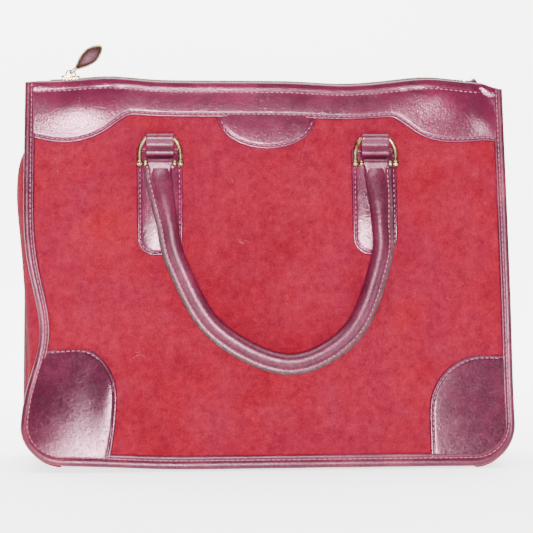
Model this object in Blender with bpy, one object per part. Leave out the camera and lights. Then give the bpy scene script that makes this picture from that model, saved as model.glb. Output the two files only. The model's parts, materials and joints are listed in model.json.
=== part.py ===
"""Zip-top travel bag in suede with leather trim, two rolled handles and brass fittings.

Frame: +X is the bag's right seen from the front, -Y is the front, +Z is up. The origin is on
the ground under the middle of the base. The front and back sides hinge at the bottom edges,
so each side is modelled upright in its own frame and leant inwards by the empty it hangs on.
In a side's frame x runs along the bag, "out" is the distance out of the bag from the side's
inner face, and "up" is the distance up the slope from the hinge line.
"""
import math

import bpy
import bmesh
from mathutils import Vector
from mathutils.geometry import tessellate_polygon

MM = 0.001
GAP = 0.3 * MM

# Driving dimensions of the body.
BASE_WIDTH = 330 * MM
TOP_WIDTH = 322 * MM
BASE_DEPTH = 90 * MM
TOP_DEPTH = 16 * MM
HINGE_HEIGHT = 3 * MM
SIDE_TOP = 258 * MM
CORNER_RADIUS = 27 * MM
SIDE_BULGE = 4 * MM

LEAN = math.atan((BASE_DEPTH - TOP_DEPTH) / 2 / (SIDE_TOP - HINGE_HEIGHT))
SIDE_LENGTH = (SIDE_TOP - HINGE_HEIGHT) / math.cos(LEAN)

# Layers of a side, as (inner, outer) distances out of the bag.
LINING_LAYER = (-1.2 * MM, -0.3 * MM)
PANEL_LAYER = (0.0, 1.5 * MM)
TRIM_LAYER = (1.8 * MM, 3.0 * MM)
TAB_LAYER = (1.8 * MM, 3.4 * MM)
BINDING_LAYER = (1.8 * MM, 4.0 * MM)
BINDING_WIDTH = 5.6 * MM
LINING_INSET = 5 * MM
LINING_BOTTOM = 9 * MM

# Yoke along the top edge, with a drop at each end and a scallop in the middle.
BAND_BOTTOM = 235 * MM
YOKE_DROP_BOTTOM = 218 * MM
YOKE_DROP_START = 92 * MM
YOKE_DROP_END = 122 * MM
SCALLOP_HALF_WIDTH = 33.5 * MM
SCALLOP_BOTTOM = 213.5 * MM

# Patch on each bottom corner of a side.
PATCH_INNER_X = 106 * MM
PATCH_TOP = 77 * MM
PATCH_RADIUS = 32 * MM

# Handle tabs, chapes and rings.
TAB_X = 72.6 * MM
TAB_WIDTH = 31 * MM
TAB_TOP = 214 * MM
TAB_BOTTOM = 142 * MM
TAB_CORNER = 12 * MM
CHAPE_WIDTH = 18 * MM
CHAPE_THICKNESS = 1.4 * MM
CHAPE_FOOT = 206 * MM
RING_OUT = 11.5 * MM
RING_BAR_HEIGHT = 219.6 * MM
RING_PIN_HEIGHT = 202.7 * MM
RING_HALF_WIDTH = 14.1 * MM
RING_SHOULDER = 5 * MM
WIRE_RADIUS = 1.4 * MM
BALL_RADIUS = 2.5 * MM
PIN_RADIUS = 1.3 * MM
COLLAR_RADIUS = 2.1 * MM
BORE_CLEARANCE = 0.3 * MM

# Rolled handle.
HANDLE_RADIUS = 6.2 * MM
HANDLE_BORE = 4.3 * MM
CORE_RADIUS = 4.0 * MM
HANDLE_OUT = 13.3 * MM
HANDLE_START = 195 * MM
HANDLE_STEP_OUT = 28 * MM
HANDLE_LINE = [
    (-72.4 * MM, HANDLE_START), (-68 * MM, 164 * MM), (-61 * MM, 135 * MM), (-36 * MM, 92 * MM),
    (12 * MM, 69.5 * MM), (54 * MM, 90 * MM), (74 * MM, 136 * MM), (75.5 * MM, 165 * MM),
    (72.4 * MM, HANDLE_START)]
LOOP_WIDTH = 11 * MM
LOOP_RADIUS = 3.1 * MM
LOOP_TO_GRIP = 1.3 * MM

# Base and gussets.
BASE_THICKNESS = 2.0 * MM
GUSSET_THICKNESS = 1.2 * MM
GUSSET_TOP = 252 * MM
GUSSET_BULGE = 6 * MM
FOLD_START = 165 * MM
FOLD_DEPTH = 26 * MM
TRIM_HEIGHT = 14 * MM
TRIM_THICKNESS = 0.7 * MM
TRIM_CLEARANCE = 0.8 * MM

# Zip.
ZIP_HEIGHT = 259.6 * MM
ZIP_LEFT = -146 * MM
ZIP_RIGHT = 142 * MM
TEETH_HEIGHT = 3 * MM
TEETH_INNER = 0.6 * MM
TEETH_OUTER = 2.7 * MM
TAPE_THICKNESS = 0.8 * MM
SLIDER_X = -132 * MM
SLIDER_LENGTH = 12 * MM
SLIDER_HALF_WIDTH = 4.2 * MM
SLOT_HEIGHT = 5.7 * MM
PLATE_THICKNESS = 1.2 * MM
BRIDGE_HALF_LENGTH = 3.6 * MM
BRIDGE_WIDTH = 1.6 * MM
BRIDGE_EYE_RADIUS = 1.15 * MM
PULL_LEAN = math.radians(49)
LINK_LENGTH = 5.5 * MM
LINK_WIRE = 0.7 * MM
PULL_LENGTH = 25 * MM
PULL_WIDTH = 11 * MM
PULL_THICKNESS = 1.8 * MM
PULL_EYE_TO_END = 2.6 * MM
PULL_EYE_RADIUS = 1.3 * MM

COLOURS = {
    "suede": ((0.46, 0.045, 0.065), 0.95, 0.0),
    "leather": ((0.22, 0.045, 0.085), 0.35, 0.0),
    "lining": ((0.10, 0.035, 0.045), 0.9, 0.0),
    "board": ((0.25, 0.20, 0.15), 0.9, 0.0),
    "cord": ((0.6, 0.55, 0.45), 0.9, 0.0),
    "tape": ((0.16, 0.12, 0.11), 0.85, 0.0),
    "brass": ((0.42, 0.31, 0.16), 0.3, 1.0),
}


def clear_scene():
    for item in list(bpy.data.objects):
        bpy.data.objects.remove(item)


def finish_for(kind, node):
    """A material of its own for one sub-part."""
    colour, roughness, metallic = COLOURS[kind]
    material = bpy.data.materials.new(node + "_" + kind)
    material.use_nodes = True
    shader = material.node_tree.nodes["Principled BSDF"]
    shader.inputs["Base Color"].default_value = (*colour, 1.0)
    shader.inputs["Roughness"].default_value = roughness
    shader.inputs["Metallic"].default_value = metallic
    return material


def add_part(name, kind, verts, faces, parent):
    """One closed body, its faces turned outwards, hung on an empty."""
    mesh = bpy.data.meshes.new(name)
    mesh.from_pydata([tuple(v) for v in verts], [], faces)
    shape = bmesh.new()
    shape.from_mesh(mesh)
    bmesh.ops.recalc_face_normals(shape, faces=shape.faces)
    shape.to_mesh(mesh)
    shape.free()
    mesh.materials.append(finish_for(kind, name))
    mesh.shade_smooth()
    mesh.set_sharp_from_angle(angle=math.radians(40))
    part = bpy.data.objects.new(name, mesh)
    bpy.context.collection.objects.link(part)
    part.parent = parent
    return part


def add_empty(name, location, rotation=(0, 0, 0), parent=None):
    empty = bpy.data.objects.new(name, None)
    bpy.context.collection.objects.link(empty)
    empty.location = location
    empty.rotation_euler = rotation
    empty.parent = parent
    return empty


def steps(first, last, count):
    """Evenly spaced values, both ends included."""
    return [first + (last - first) * i / count for i in range(count + 1)]


def ease(value):
    value = min(max(value, 0.0), 1.0)
    return value * value * (3 - 2 * value)


def grid_faces(rows, columns, start=0, flip=False):
    """Quads over a grid of vertices numbered row by row."""
    faces = []
    for i in range(rows - 1):
        for j in range(columns - 1):
            a = start + i * columns + j
            quad = (a, a + 1, a + columns + 1, a + columns)
            faces.append(quad[::-1] if flip else quad)
    return faces


def rim(rows, columns):
    """Vertex numbers round the edge of a grid."""
    top = [j for j in range(columns)]
    right = [i * columns + columns - 1 for i in range(1, rows)]
    bottom = [(rows - 1) * columns + j for j in range(columns - 2, -1, -1)]
    left = [i * columns for i in range(rows - 2, 0, -1)]
    return top + right + bottom + left


def add_sheet(name, kind, outer, inner, parent):
    """A closed sheet between two grids of points of the same size."""
    rows = len(outer)
    columns = len(outer[0])
    count = rows * columns
    verts = [p for row in outer for p in row] + [p for row in inner for p in row]
    faces = grid_faces(rows, columns) + grid_faces(rows, columns, count, True)
    edge = rim(rows, columns)
    for a, b in zip(edge, edge[1:] + edge[:1]):
        faces.append((b, a, a + count, b + count))
    return add_part(name, kind, verts, faces, parent)


def add_sweep(name, kind, path, section, plane_normal, parent, scale=None):
    """A closed section carried along a path that lies close to a plane."""
    count = len(section)
    verts = []
    for i, point in enumerate(path):
        ahead = path[min(i + 1, len(path) - 1)]
        behind = path[max(i - 1, 0)]
        tangent = (ahead - behind).normalized()
        across = tangent.cross(plane_normal).normalized()
        through = across.cross(tangent).normalized()
        size = scale[i] if scale else 1.0
        verts += [point + across * a * size + through * b * size for a, b in section]
    faces = []
    for i in range(len(path) - 1):
        for j in range(count):
            a = i * count + j
            b = i * count + (j + 1) % count
            faces.append((a, b, b + count, a + count))
    faces.append(tuple(range(count)))
    faces.append(tuple(range(len(path) * count - 1, (len(path) - 1) * count - 1, -1)))
    return add_part(name, kind, verts, faces, parent)


def add_tube(name, kind, path, radii, sides, plane_normal, parent):
    """An open-ended round tube along a path."""
    outer, inner = radii
    count = sides
    verts = []
    for radius in (outer, inner):
        for i, point in enumerate(path):
            ahead = path[min(i + 1, len(path) - 1)]
            behind = path[max(i - 1, 0)]
            tangent = (ahead - behind).normalized()
            across = tangent.cross(plane_normal).normalized()
            through = across.cross(tangent).normalized()
            for a, b in circle(radius, sides):
                verts.append(point + across * a + through * b)
    faces = []
    half = len(path) * count
    for skin in (0, half):
        for i in range(len(path) - 1):
            for j in range(count):
                a = skin + i * count + j
                b = skin + i * count + (j + 1) % count
                faces.append((a, b, b + count, a + count))
    for end in (0, (len(path) - 1) * count):
        for j in range(count):
            a = end + j
            b = end + (j + 1) % count
            faces.append((a, b, b + half, a + half))
    return add_part(name, kind, verts, faces, parent)


def add_prism(name, kind, outline, place, width, parent, hole=None):
    """An outline, with or without one hole, extruded evenly to both sides of x = 0.

    place turns (x, first, second) into a point, where first and second are the outline's.
    """
    loops = [outline] + ([hole] if hole else [])
    flat = [p for loop in loops for p in loop]
    caps = tessellate_polygon([[Vector((a, b, 0)) for a, b in loop] for loop in loops])
    count = len(flat)
    verts = []
    for x in (-width / 2, width / 2):
        verts += [place(x, a, b) for a, b in flat]
    faces = [tuple(t) for t in caps] + [tuple(i + count for i in reversed(t)) for t in caps]
    start = 0
    for loop in loops:
        for j in range(len(loop)):
            a = start + j
            b = start + (j + 1) % len(loop)
            faces.append((b, a, a + count, b + count))
        start += len(loop)
    return add_part(name, kind, verts, faces, parent)


def circle(radius, sides, centre=(0.0, 0.0)):
    points = []
    for i in range(sides):
        turn = 2 * math.pi * (i + 0.5) / sides
        points.append((centre[0] + radius * math.cos(turn), centre[1] + radius * math.sin(turn)))
    return points


def arc(centre, radius, first, last, count):
    """Points on an arc, with the angles in degrees."""
    points = []
    for turn in steps(math.radians(first), math.radians(last), count):
        points.append((centre[0] + radius * math.cos(turn), centre[1] + radius * math.sin(turn)))
    return points


# The surface of a side.

def up_slope(height):
    """Distance up a side's slope for a height above the ground."""
    return (height - HINGE_HEIGHT) / math.cos(LEAN)


def bulge(x, up):
    return SIDE_BULGE * math.sin(math.pi * up / SIDE_LENGTH) * math.cos(math.pi * x / BASE_WIDTH)


def side_point(x, out, up):
    return Vector((x, -(out + bulge(x, up)), up))


def flat_point(x, out, up):
    return Vector((x, -out, up))


def from_world(y, z):
    """(out, up) in the front side's frame of a point at rest."""
    dy = y + BASE_DEPTH / 2
    dz = z - HINGE_HEIGHT
    out = -dy * math.cos(LEAN) + dz * math.sin(LEAN)
    up = dy * math.sin(LEAN) + dz * math.cos(LEAN)
    return out, up


def half_width(up, inset=0.0):
    """Half the width of a side at one place up the slope, less an inset all round."""
    if up >= CORNER_RADIUS:
        taper = (up - CORNER_RADIUS) / (SIDE_LENGTH - CORNER_RADIUS)
        return BASE_WIDTH / 2 - inset - taper * (BASE_WIDTH - TOP_WIDTH) / 2
    reach = (CORNER_RADIUS - inset) ** 2 - (CORNER_RADIUS - up) ** 2
    return BASE_WIDTH / 2 - CORNER_RADIUS + math.sqrt(max(reach, 0.0))


def side_rows(bottom, top, corner_steps, straight_steps, inset):
    """Places up the slope, close together where the bottom corners turn."""
    rows = []
    radius = CORNER_RADIUS - inset
    for turn in steps(0, math.pi / 2, corner_steps):
        rows.append(CORNER_RADIUS - radius * math.cos(turn))
    rows = [r for r in rows if r > bottom + 1 * MM]
    return [bottom] + rows + steps(CORNER_RADIUS, top, straight_steps)[1:]


def add_layer(name, kind, rows, layer, parent):
    """A sheet on a side. rows holds (up, [x, ...]) and layer the distances out."""
    inner = [[side_point(x, layer[0], up) for up, x in row] for row in rows]
    outer = [[side_point(x, layer[1], up) for up, x in row] for row in rows]
    return add_sheet(name, kind, outer, inner, parent)


def add_panel(name, parent):
    rows = []
    for up in side_rows(0.0, SIDE_LENGTH, 5, 8, 0.0):
        wide = half_width(up)
        rows.append([(up, x) for x in steps(-wide, wide, 8)])
    return add_layer(name, "suede", rows, PANEL_LAYER, parent)


def add_lining(name, parent):
    rows = []
    for up in side_rows(LINING_BOTTOM, SIDE_LENGTH - 4 * MM, 4, 5, LINING_INSET):
        wide = half_width(up, LINING_INSET)
        rows.append([(up, x) for x in steps(-wide, wide, 8)])
    return add_layer(name, "lining", rows, LINING_LAYER, parent)


def yoke_bottom(x):
    """Height of the yoke's lower edge."""
    drop = ease((abs(x) - YOKE_DROP_START) / (YOKE_DROP_END - YOKE_DROP_START))
    return up_slope(BAND_BOTTOM - drop * (BAND_BOTTOM - YOKE_DROP_BOTTOM))


def add_yoke(name, parent):
    widest = half_width(SIDE_LENGTH, BINDING_WIDTH + GAP)
    half = [0.0, YOKE_DROP_START / 2] + steps(YOKE_DROP_START, YOKE_DROP_END, 5)
    half += [0.5 * (YOKE_DROP_END + widest), widest]
    across = [-x for x in half[:0:-1]] + half
    rows = []
    for share in steps(0.0, 1.0, 3):
        row = []
        for x in across:
            low = yoke_bottom(x)
            row.append((low + share * (SIDE_LENGTH - low), x))
        rows.append(row)
    return add_layer(name, "leather", rows, TRIM_LAYER, parent)


def add_scallop(name, parent):
    top = up_slope(BAND_BOTTOM) - GAP
    depth = top - up_slope(SCALLOP_BOTTOM)
    rows = []
    for share in steps(0.0, 1.0, 3):
        row = []
        for turn in steps(math.radians(-86), math.radians(86), 12):
            low = top - depth * math.cos(turn)
            row.append((low + share * (top - low), SCALLOP_HALF_WIDTH * math.sin(turn)))
        rows.append(row)
    return add_layer(name, "leather", rows, TRIM_LAYER, parent)


def patch_inner_x(up):
    """How far from the middle a corner patch starts, at one place up the slope."""
    turn_start = up_slope(PATCH_TOP) - PATCH_RADIUS
    if up <= turn_start:
        return PATCH_INNER_X
    rise = min(up - turn_start, PATCH_RADIUS)
    return PATCH_INNER_X + PATCH_RADIUS - math.sqrt(PATCH_RADIUS ** 2 - rise ** 2)


def add_corner(name, side, parent):
    top = up_slope(PATCH_TOP)
    turn_start = top - PATCH_RADIUS
    inset = BINDING_WIDTH + GAP
    places = [inset + 0.2 * MM, inset + 2 * MM, inset + 7 * MM, 0.5 * turn_start, turn_start]
    places += [turn_start + PATCH_RADIUS * math.sin(t) for t in steps(0.3, math.pi / 2, 5)]
    rows = []
    for up in places:
        near = patch_inner_x(up)
        far = half_width(up, inset)
        rows.append([(up, side * x) for x in steps(near, far, 5)])
    return add_layer(name, "leather", rows, TRIM_LAYER, parent)


def add_binding(name, parent):
    """The strip folded round the two ends and the bottom of a side."""
    inset = BINDING_WIDTH / 2
    half = []
    for up in steps(SIDE_LENGTH, CORNER_RADIUS, 6)[:-1]:
        half.append((half_width(up, inset), up))
    centre = (BASE_WIDTH / 2 - CORNER_RADIUS, CORNER_RADIUS)
    half += arc(centre, CORNER_RADIUS - inset, 0, -90, 7)
    half += [(x, inset) for x in steps(centre[0], 0.0, 4)[1:]]
    outline = half + [(-x, up) for x, up in half[-2::-1]]
    middle = 0.5 * (BINDING_LAYER[0] + BINDING_LAYER[1])
    path = [side_point(x, middle, up) for x, up in outline]
    w = BINDING_WIDTH / 2
    t = 0.5 * (BINDING_LAYER[1] - BINDING_LAYER[0])
    section = [(-w, -t), (w, -t), (w, 0.3 * t), (0.6 * w, t), (-0.6 * w, t), (-w, 0.3 * t)]
    return add_sweep(name, "leather", path, section, Vector((0, -1, 0)), parent)


def add_tab(name, x_middle, parent):
    low = up_slope(TAB_BOTTOM)
    high = up_slope(TAB_TOP)
    places = [low + TAB_CORNER * (1 - math.cos(t)) for t in steps(0.0, math.pi / 2, 5)]
    places += steps(low + TAB_CORNER, high, 4)[1:]
    rows = []
    for up in places:
        reach = TAB_CORNER - min(up - low, TAB_CORNER)
        wide = TAB_WIDTH / 2 - TAB_CORNER + math.sqrt(TAB_CORNER ** 2 - reach ** 2)
        rows.append([(up, x_middle + x) for x in steps(-wide, wide, 4)])
    return add_layer(name, "leather", rows, TAB_LAYER, parent)


def chape_outline():
    """Side view of the folded strip that holds a ring's bar, as (out, up)."""
    bar = (RING_OUT, up_slope(RING_BAR_HEIGHT))
    radius = WIRE_RADIUS + BORE_CLEARANCE + CHAPE_THICKNESS
    foot_up = up_slope(CHAPE_FOOT)
    foot_out = TAB_LAYER[1] + bulge(TAB_X, foot_up) + 0.5 * MM
    outline = [(foot_out, foot_up), (foot_out + 1.5 * MM, foot_up)]
    outline += arc(bar, radius, -25, 190, 10)
    outline += [(foot_out, foot_up + 6 * MM)]
    return outline


def add_chape(name, x_middle, parent):
    bore = circle(WIRE_RADIUS + BORE_CLEARANCE, 10, (RING_OUT, up_slope(RING_BAR_HEIGHT)))
    return add_prism(
        name, "leather", chape_outline(),
        lambda x, out, up: flat_point(x_middle + x, out, up),
        CHAPE_WIDTH, parent, bore)


def add_ring(name, parent):
    """A stirrup-shaped ring round its bar at the parent's origin, with balls at the ends."""
    drop = up_slope(RING_BAR_HEIGHT) - up_slope(RING_PIN_HEIGHT)
    shoulder = RING_SHOULDER
    straight = RING_HALF_WIDTH - shoulder
    ball_reach = [(BALL_RADIUS * math.cos(t), math.sin(t)) for t in steps(0.35, 2.5, 4)]
    half = []
    sizes = []
    for along, size in ball_reach:
        half.append((RING_HALF_WIDTH, -drop - along))
        sizes.append(size * BALL_RADIUS / WIRE_RADIUS)
    half.append((RING_HALF_WIDTH, -drop + BALL_RADIUS + 0.4 * MM))
    sizes.append(1.0)
    half += arc((straight, -shoulder), shoulder, 0, 90, 4)
    sizes += [1.0] * 5
    points = half + [(-x, up) for x, up in reversed(half)]
    path = [Vector((x, 0, up)) for x, up in points]
    section = circle(WIRE_RADIUS, 6)
    return add_sweep(name, "brass", path, section, Vector((0, -1, 0)), parent,
                     sizes + sizes[::-1])


def add_turned(name, kind, profile, sides, parent, offset):
    """A solid turned about an axis along X. profile holds (x, radius)."""
    verts = []
    for x, radius in profile:
        verts += [offset + Vector((x, a, b)) for a, b in circle(radius, sides)]
    faces = []
    for i in range(len(profile) - 1):
        for j in range(sides):
            a = i * sides + j
            b = i * sides + (j + 1) % sides
            faces.append((a, b, b + sides, a + sides))
    faces.append(tuple(range(sides)))
    faces.append(tuple(range((len(profile) - 1) * sides, len(profile) * sides)))
    return add_part(name, kind, verts, faces, parent)


def add_ring_pin(name, parent):
    """The pin between a ring's balls, with a collar near each end."""
    drop = up_slope(RING_BAR_HEIGHT) - up_slope(RING_PIN_HEIGHT)
    end = RING_HALF_WIDTH - BALL_RADIUS - GAP
    half = [(end, PIN_RADIUS), (end - 0.6 * MM, COLLAR_RADIUS), (end - 2.4 * MM, COLLAR_RADIUS),
            (end - 3.0 * MM, PIN_RADIUS)]
    profile = half + [(-x, radius) for x, radius in reversed(half)]
    return add_turned(name, "brass", profile, 10, parent, Vector((0, 0, -drop)))


def smooth_line(points, steps_between):
    """A smooth curve through (x, height) points, as Catmull-Rom pieces."""
    padded = [points[0]] + points + [points[-1]]
    line = []
    for i in range(1, len(padded) - 2):
        before, first, last, after = [Vector(p) for p in padded[i - 1:i + 3]]
        for t in steps(0.0, 1.0, steps_between)[:-1]:
            near = 2 * first + (last - before) * t
            bend = (2 * before - 5 * first + 4 * last - after) * t ** 2
            twist = (3 * first - before - 3 * last + after) * t ** 3
            line.append(0.5 * (near + bend + twist))
    return line + [Vector(points[-1])]


def handle_centreline():
    """The handle's hanging line, as points in the side's frame."""
    pin_up = up_slope(RING_PIN_HEIGHT)
    points = []
    for x, height in smooth_line(HANDLE_LINE, 3):
        up = up_slope(height)
        near_pin = ease((up - pin_up + HANDLE_STEP_OUT) / HANDLE_STEP_OUT)
        points.append(flat_point(x, HANDLE_OUT + (RING_OUT - HANDLE_OUT) * near_pin, up))
    return points


def add_loop(name, x_middle, parent):
    """The end of the handle that is folded round a ring's pin."""
    pin = (RING_OUT, up_slope(RING_PIN_HEIGHT))
    tip = up_slope(HANDLE_START) + LOOP_TO_GRIP
    outline = arc(pin, LOOP_RADIUS, -35, 215, 9)
    outline += [(pin[0] - 2.2 * MM, tip), (pin[0] + 2.6 * MM, tip)]
    bore = circle(PIN_RADIUS + BORE_CLEARANCE, 10, pin)
    return add_prism(
        name, "leather", outline,
        lambda x, out, up: flat_point(x_middle + x, out, up) - parent.location,
        LOOP_WIDTH, parent, bore)


def shift(points, offset):
    return [p - offset for p in points]


# Base and gussets.

def add_slab(name, kind, low, high, parent=None):
    """A box between two corners."""
    (x0, y0, z0), (x1, y1, z1) = low, high
    verts = [Vector((x, y, z)) for z in (z0, z1) for x, y in ((x0, y0), (x1, y0), (x1, y1), (x0, y1))]
    faces = [(0, 1, 2, 3), (4, 5, 6, 7), (0, 1, 5, 4), (1, 2, 6, 5), (2, 3, 7, 6), (3, 0, 4, 7)]
    return add_part(name, kind, verts, faces, parent)


def seam_depth(height):
    """Half the depth of the bag between the side's inner faces."""
    return BASE_DEPTH / 2 - (height - HINGE_HEIGHT) * math.tan(LEAN)


def gusset_skin(side, places, columns, out, edge_room):
    """Grid of points on a gusset's surface, moved out by a distance in x."""
    rows = []
    for height, x_edge in places:
        depth = seam_depth(height) - edge_room
        rise = (height - CORNER_RADIUS) / (FOLD_START + 40 * MM - CORNER_RADIUS)
        swell = GUSSET_BULGE * math.sin(math.pi * min(max(rise, 0.0), 1.0))
        fold = FOLD_DEPTH * ease((height - FOLD_START) / (GUSSET_TOP - FOLD_START))
        row = []
        for share in steps(-1.0, 1.0, columns):
            x = x_edge + swell * (1 - share ** 2) - fold * (1 - abs(share)) + out
            row.append(Vector((side * x, share * depth, height)))
        rows.append(row)
    return rows


def sheet_under(skin, thickness, side):
    """The inner skin of a sheet, found along the surface's normals."""
    rows = len(skin)
    columns = len(skin[0])
    inner = []
    for i in range(rows):
        line = []
        for j in range(columns):
            along = skin[min(i + 1, rows - 1)][j] - skin[max(i - 1, 0)][j]
            across = skin[i][min(j + 1, columns - 1)] - skin[i][max(j - 1, 0)]
            normal = along.cross(across).normalized()
            if normal.x * side < 0:
                normal = -normal
            line.append(skin[i][j] - normal * thickness)
        inner.append(line)
    return inner


def add_gusset(name, side):
    places = []
    centre_x = BASE_WIDTH / 2 - CORNER_RADIUS
    for x, z in arc((centre_x, CORNER_RADIUS), CORNER_RADIUS, -89.5, 0, 5):
        places.append((z, x))
    for z in steps(CORNER_RADIUS, GUSSET_TOP - TRIM_HEIGHT, 8)[1:] + [GUSSET_TOP]:
        places.append((z, half_width(up_slope(z))))
    skin = gusset_skin(side, places, 8, 0.0, 0.5 * MM + GUSSET_THICKNESS)
    return add_sheet(name, "suede", skin, sheet_under(skin, GUSSET_THICKNESS, side), None)


def add_gusset_trim(name, side):
    """The strip bound over a gusset's top edge, on its outer face."""
    places = [(z, half_width(up_slope(z))) for z in (GUSSET_TOP - TRIM_HEIGHT, GUSSET_TOP)]
    skin = gusset_skin(side, places, 8, 0.0, 0.5 * MM + GUSSET_THICKNESS)
    outer = sheet_under(skin, -TRIM_CLEARANCE - TRIM_THICKNESS, side)
    return add_sheet(name, "leather", outer, sheet_under(skin, -TRIM_CLEARANCE, side), None)


def add_base():
    flat_x = BASE_WIDTH / 2 - CORNER_RADIUS - GAP
    flat_y = BASE_DEPTH / 2 - 1.7 * MM
    layers = [
        ("base_panel", "suede", flat_x, flat_y, 0.0, BASE_THICKNESS),
        ("base_board", "board", flat_x - 2 * MM, flat_y - 2 * MM, 2.3 * MM, 4.5 * MM),
        ("base_lining", "lining", flat_x - 2 * MM, flat_y - 2 * MM, 4.8 * MM, 5.6 * MM),
    ]
    for name, kind, x, y, low, high in layers:
        add_slab(name, kind, (-x, -y, low), (x, y, high))


# Zip.

def add_zip_half(prefix, flip, parent):
    """Tape, row of teeth and end stop on one side. flip is -1 on the back, whose x is turned."""
    first, last = sorted((flip * ZIP_LEFT, flip * ZIP_RIGHT))
    middle = 0.5 * (first + last)
    length = last - first
    half_tape = TAPE_THICKNESS / 2
    low_edge = -seam_depth(ZIP_HEIGHT - 18 * MM) + 1.7 * MM
    bend = -seam_depth(ZIP_HEIGHT) + 1.9 * MM
    tape = [(low_edge, ZIP_HEIGHT - 18 * MM), (low_edge + 2 * half_tape, ZIP_HEIGHT - 18 * MM),
            (bend + 2 * half_tape, ZIP_HEIGHT - 2 * half_tape),
            (-TEETH_OUTER - GAP, ZIP_HEIGHT - half_tape),
            (-TEETH_OUTER - GAP, ZIP_HEIGHT + half_tape), (bend, ZIP_HEIGHT + half_tape)]
    half_row = TEETH_HEIGHT / 2
    shave = 0.6 * MM
    teeth = [(-TEETH_OUTER, ZIP_HEIGHT - half_row + shave), (-TEETH_OUTER + shave, ZIP_HEIGHT - half_row),
             (-TEETH_INNER, ZIP_HEIGHT - half_row), (-TEETH_INNER, ZIP_HEIGHT + half_row),
             (-TEETH_OUTER + shave, ZIP_HEIGHT + half_row), (-TEETH_OUTER, ZIP_HEIGHT + half_row - shave)]
    stop_length = 3 * MM
    stop_x = flip * (ZIP_RIGHT - stop_length / 2)
    row_length = length - stop_length - GAP
    row_x = middle - flip * 0.5 * (stop_length + GAP)
    for name, kind, outline, x_middle, width in (
            ("zip_tape", "tape", tape, middle, length),
            ("zip_teeth", "brass", teeth, row_x, row_length),
            ("zip_stop", "brass", teeth, stop_x, stop_length)):
        section = [from_world(y, z) for y, z in outline]
        add_prism(
            prefix + name, kind, section,
            lambda x, out, up, x_middle=x_middle: flat_point(x_middle + x, out, up),
            width, parent)


def slider_outline():
    """Cross-section of the slider, open at both flanks, as (y, z)."""
    half_slot = SLOT_HEIGHT / 2
    low = ZIP_HEIGHT - half_slot - PLATE_THICKNESS
    high = ZIP_HEIGHT + half_slot + PLATE_THICKNESS
    edge = SLIDER_HALF_WIDTH
    right = [(edge, low), (edge, low + PLATE_THICKNESS), (GAP, low + PLATE_THICKNESS),
             (GAP, high - PLATE_THICKNESS), (edge, high - PLATE_THICKNESS), (edge, high)]
    return right + [(-y, z) for y, z in reversed(right)]


def add_slider():
    """The slider's body and the bridge pressed on top. Returns the height of the bridge's eye."""
    add_prism(
        "zip_slider", "brass", slider_outline(),
        lambda x, y, z: Vector((SLIDER_X + x, y, z)), SLIDER_LENGTH, None)
    foot = ZIP_HEIGHT + SLOT_HEIGHT / 2 + PLATE_THICKNESS + GAP
    eye_height = foot + BRIDGE_EYE_RADIUS + 0.5 * MM
    outline = [(-BRIDGE_HALF_LENGTH, foot), (BRIDGE_HALF_LENGTH, foot)]
    outline += arc((0.0, foot + 0.6 * MM), BRIDGE_HALF_LENGTH - 0.4 * MM, 0, 180, 8)
    add_prism(
        "zip_bridge", "brass", outline,
        lambda y, x, z: Vector((SLIDER_X + x, y, z)), BRIDGE_WIDTH, None,
        circle(BRIDGE_EYE_RADIUS, 10, (0.0, eye_height)))
    return eye_height


def add_link(parent):
    """A flat rectangular loop from the bridge's eye to the pull's eye, standing up locally."""
    half_width_y = 1.9 * MM
    wire = LINK_WIRE
    outer = [(-half_width_y - wire, -wire), (half_width_y + wire, -wire),
             (half_width_y + wire, LINK_LENGTH + wire), (-half_width_y - wire, LINK_LENGTH + wire)]
    inner = [(-half_width_y + wire, wire), (half_width_y - wire, wire),
             (half_width_y - wire, LINK_LENGTH - wire), (-half_width_y + wire, LINK_LENGTH - wire)]
    return add_prism("zip_pull_link", "brass", outer, lambda x, y, z: Vector((x, y, z)),
                     2 * wire, parent, inner)


def leaf_outline(inset):
    """Pointed oval of the pull, as (x, z) from its eye upwards."""
    points = []
    half = PULL_WIDTH / 2 - inset
    first = inset - PULL_EYE_TO_END
    last = PULL_LENGTH - PULL_EYE_TO_END - inset
    for share in steps(0.0, 1.0, 9)[1:-1]:
        points.append((half * math.sin(math.pi * share ** 0.8) ** 0.75, first + (last - first) * share))
    outline = [(0.0, first)] + points + [(0.0, last)] + [(-x, z) for x, z in reversed(points)]
    return outline


def add_pull(parent):
    add_prism("zip_pull", "brass", leaf_outline(0.0), lambda y, x, z: Vector((x, y, z)),
              PULL_THICKNESS, parent, circle(PULL_EYE_RADIUS, 8))
    inlay = [(0.72 * x, 5.2 * MM + 0.62 * z) for x, z in leaf_outline(1.0 * MM)]
    face = -PULL_THICKNESS / 2 - GAP - 0.3 * MM
    add_prism("zip_pull_inlay", "leather", inlay, lambda y, x, z: Vector((x, face + y, z)),
              0.6 * MM, parent)


def add_zip_pull(eye_height):
    eye = Vector((SLIDER_X, 0, eye_height))
    link_axis = add_empty("link_axis", eye, (0, PULL_LEAN, 0))
    add_link(link_axis)
    pull_axis = add_empty("pull_axis", (0, 0, LINK_LENGTH), (0, 0, 0), link_axis)
    add_pull(pull_axis)


# One whole side: everything that leans and opens with it.

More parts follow.
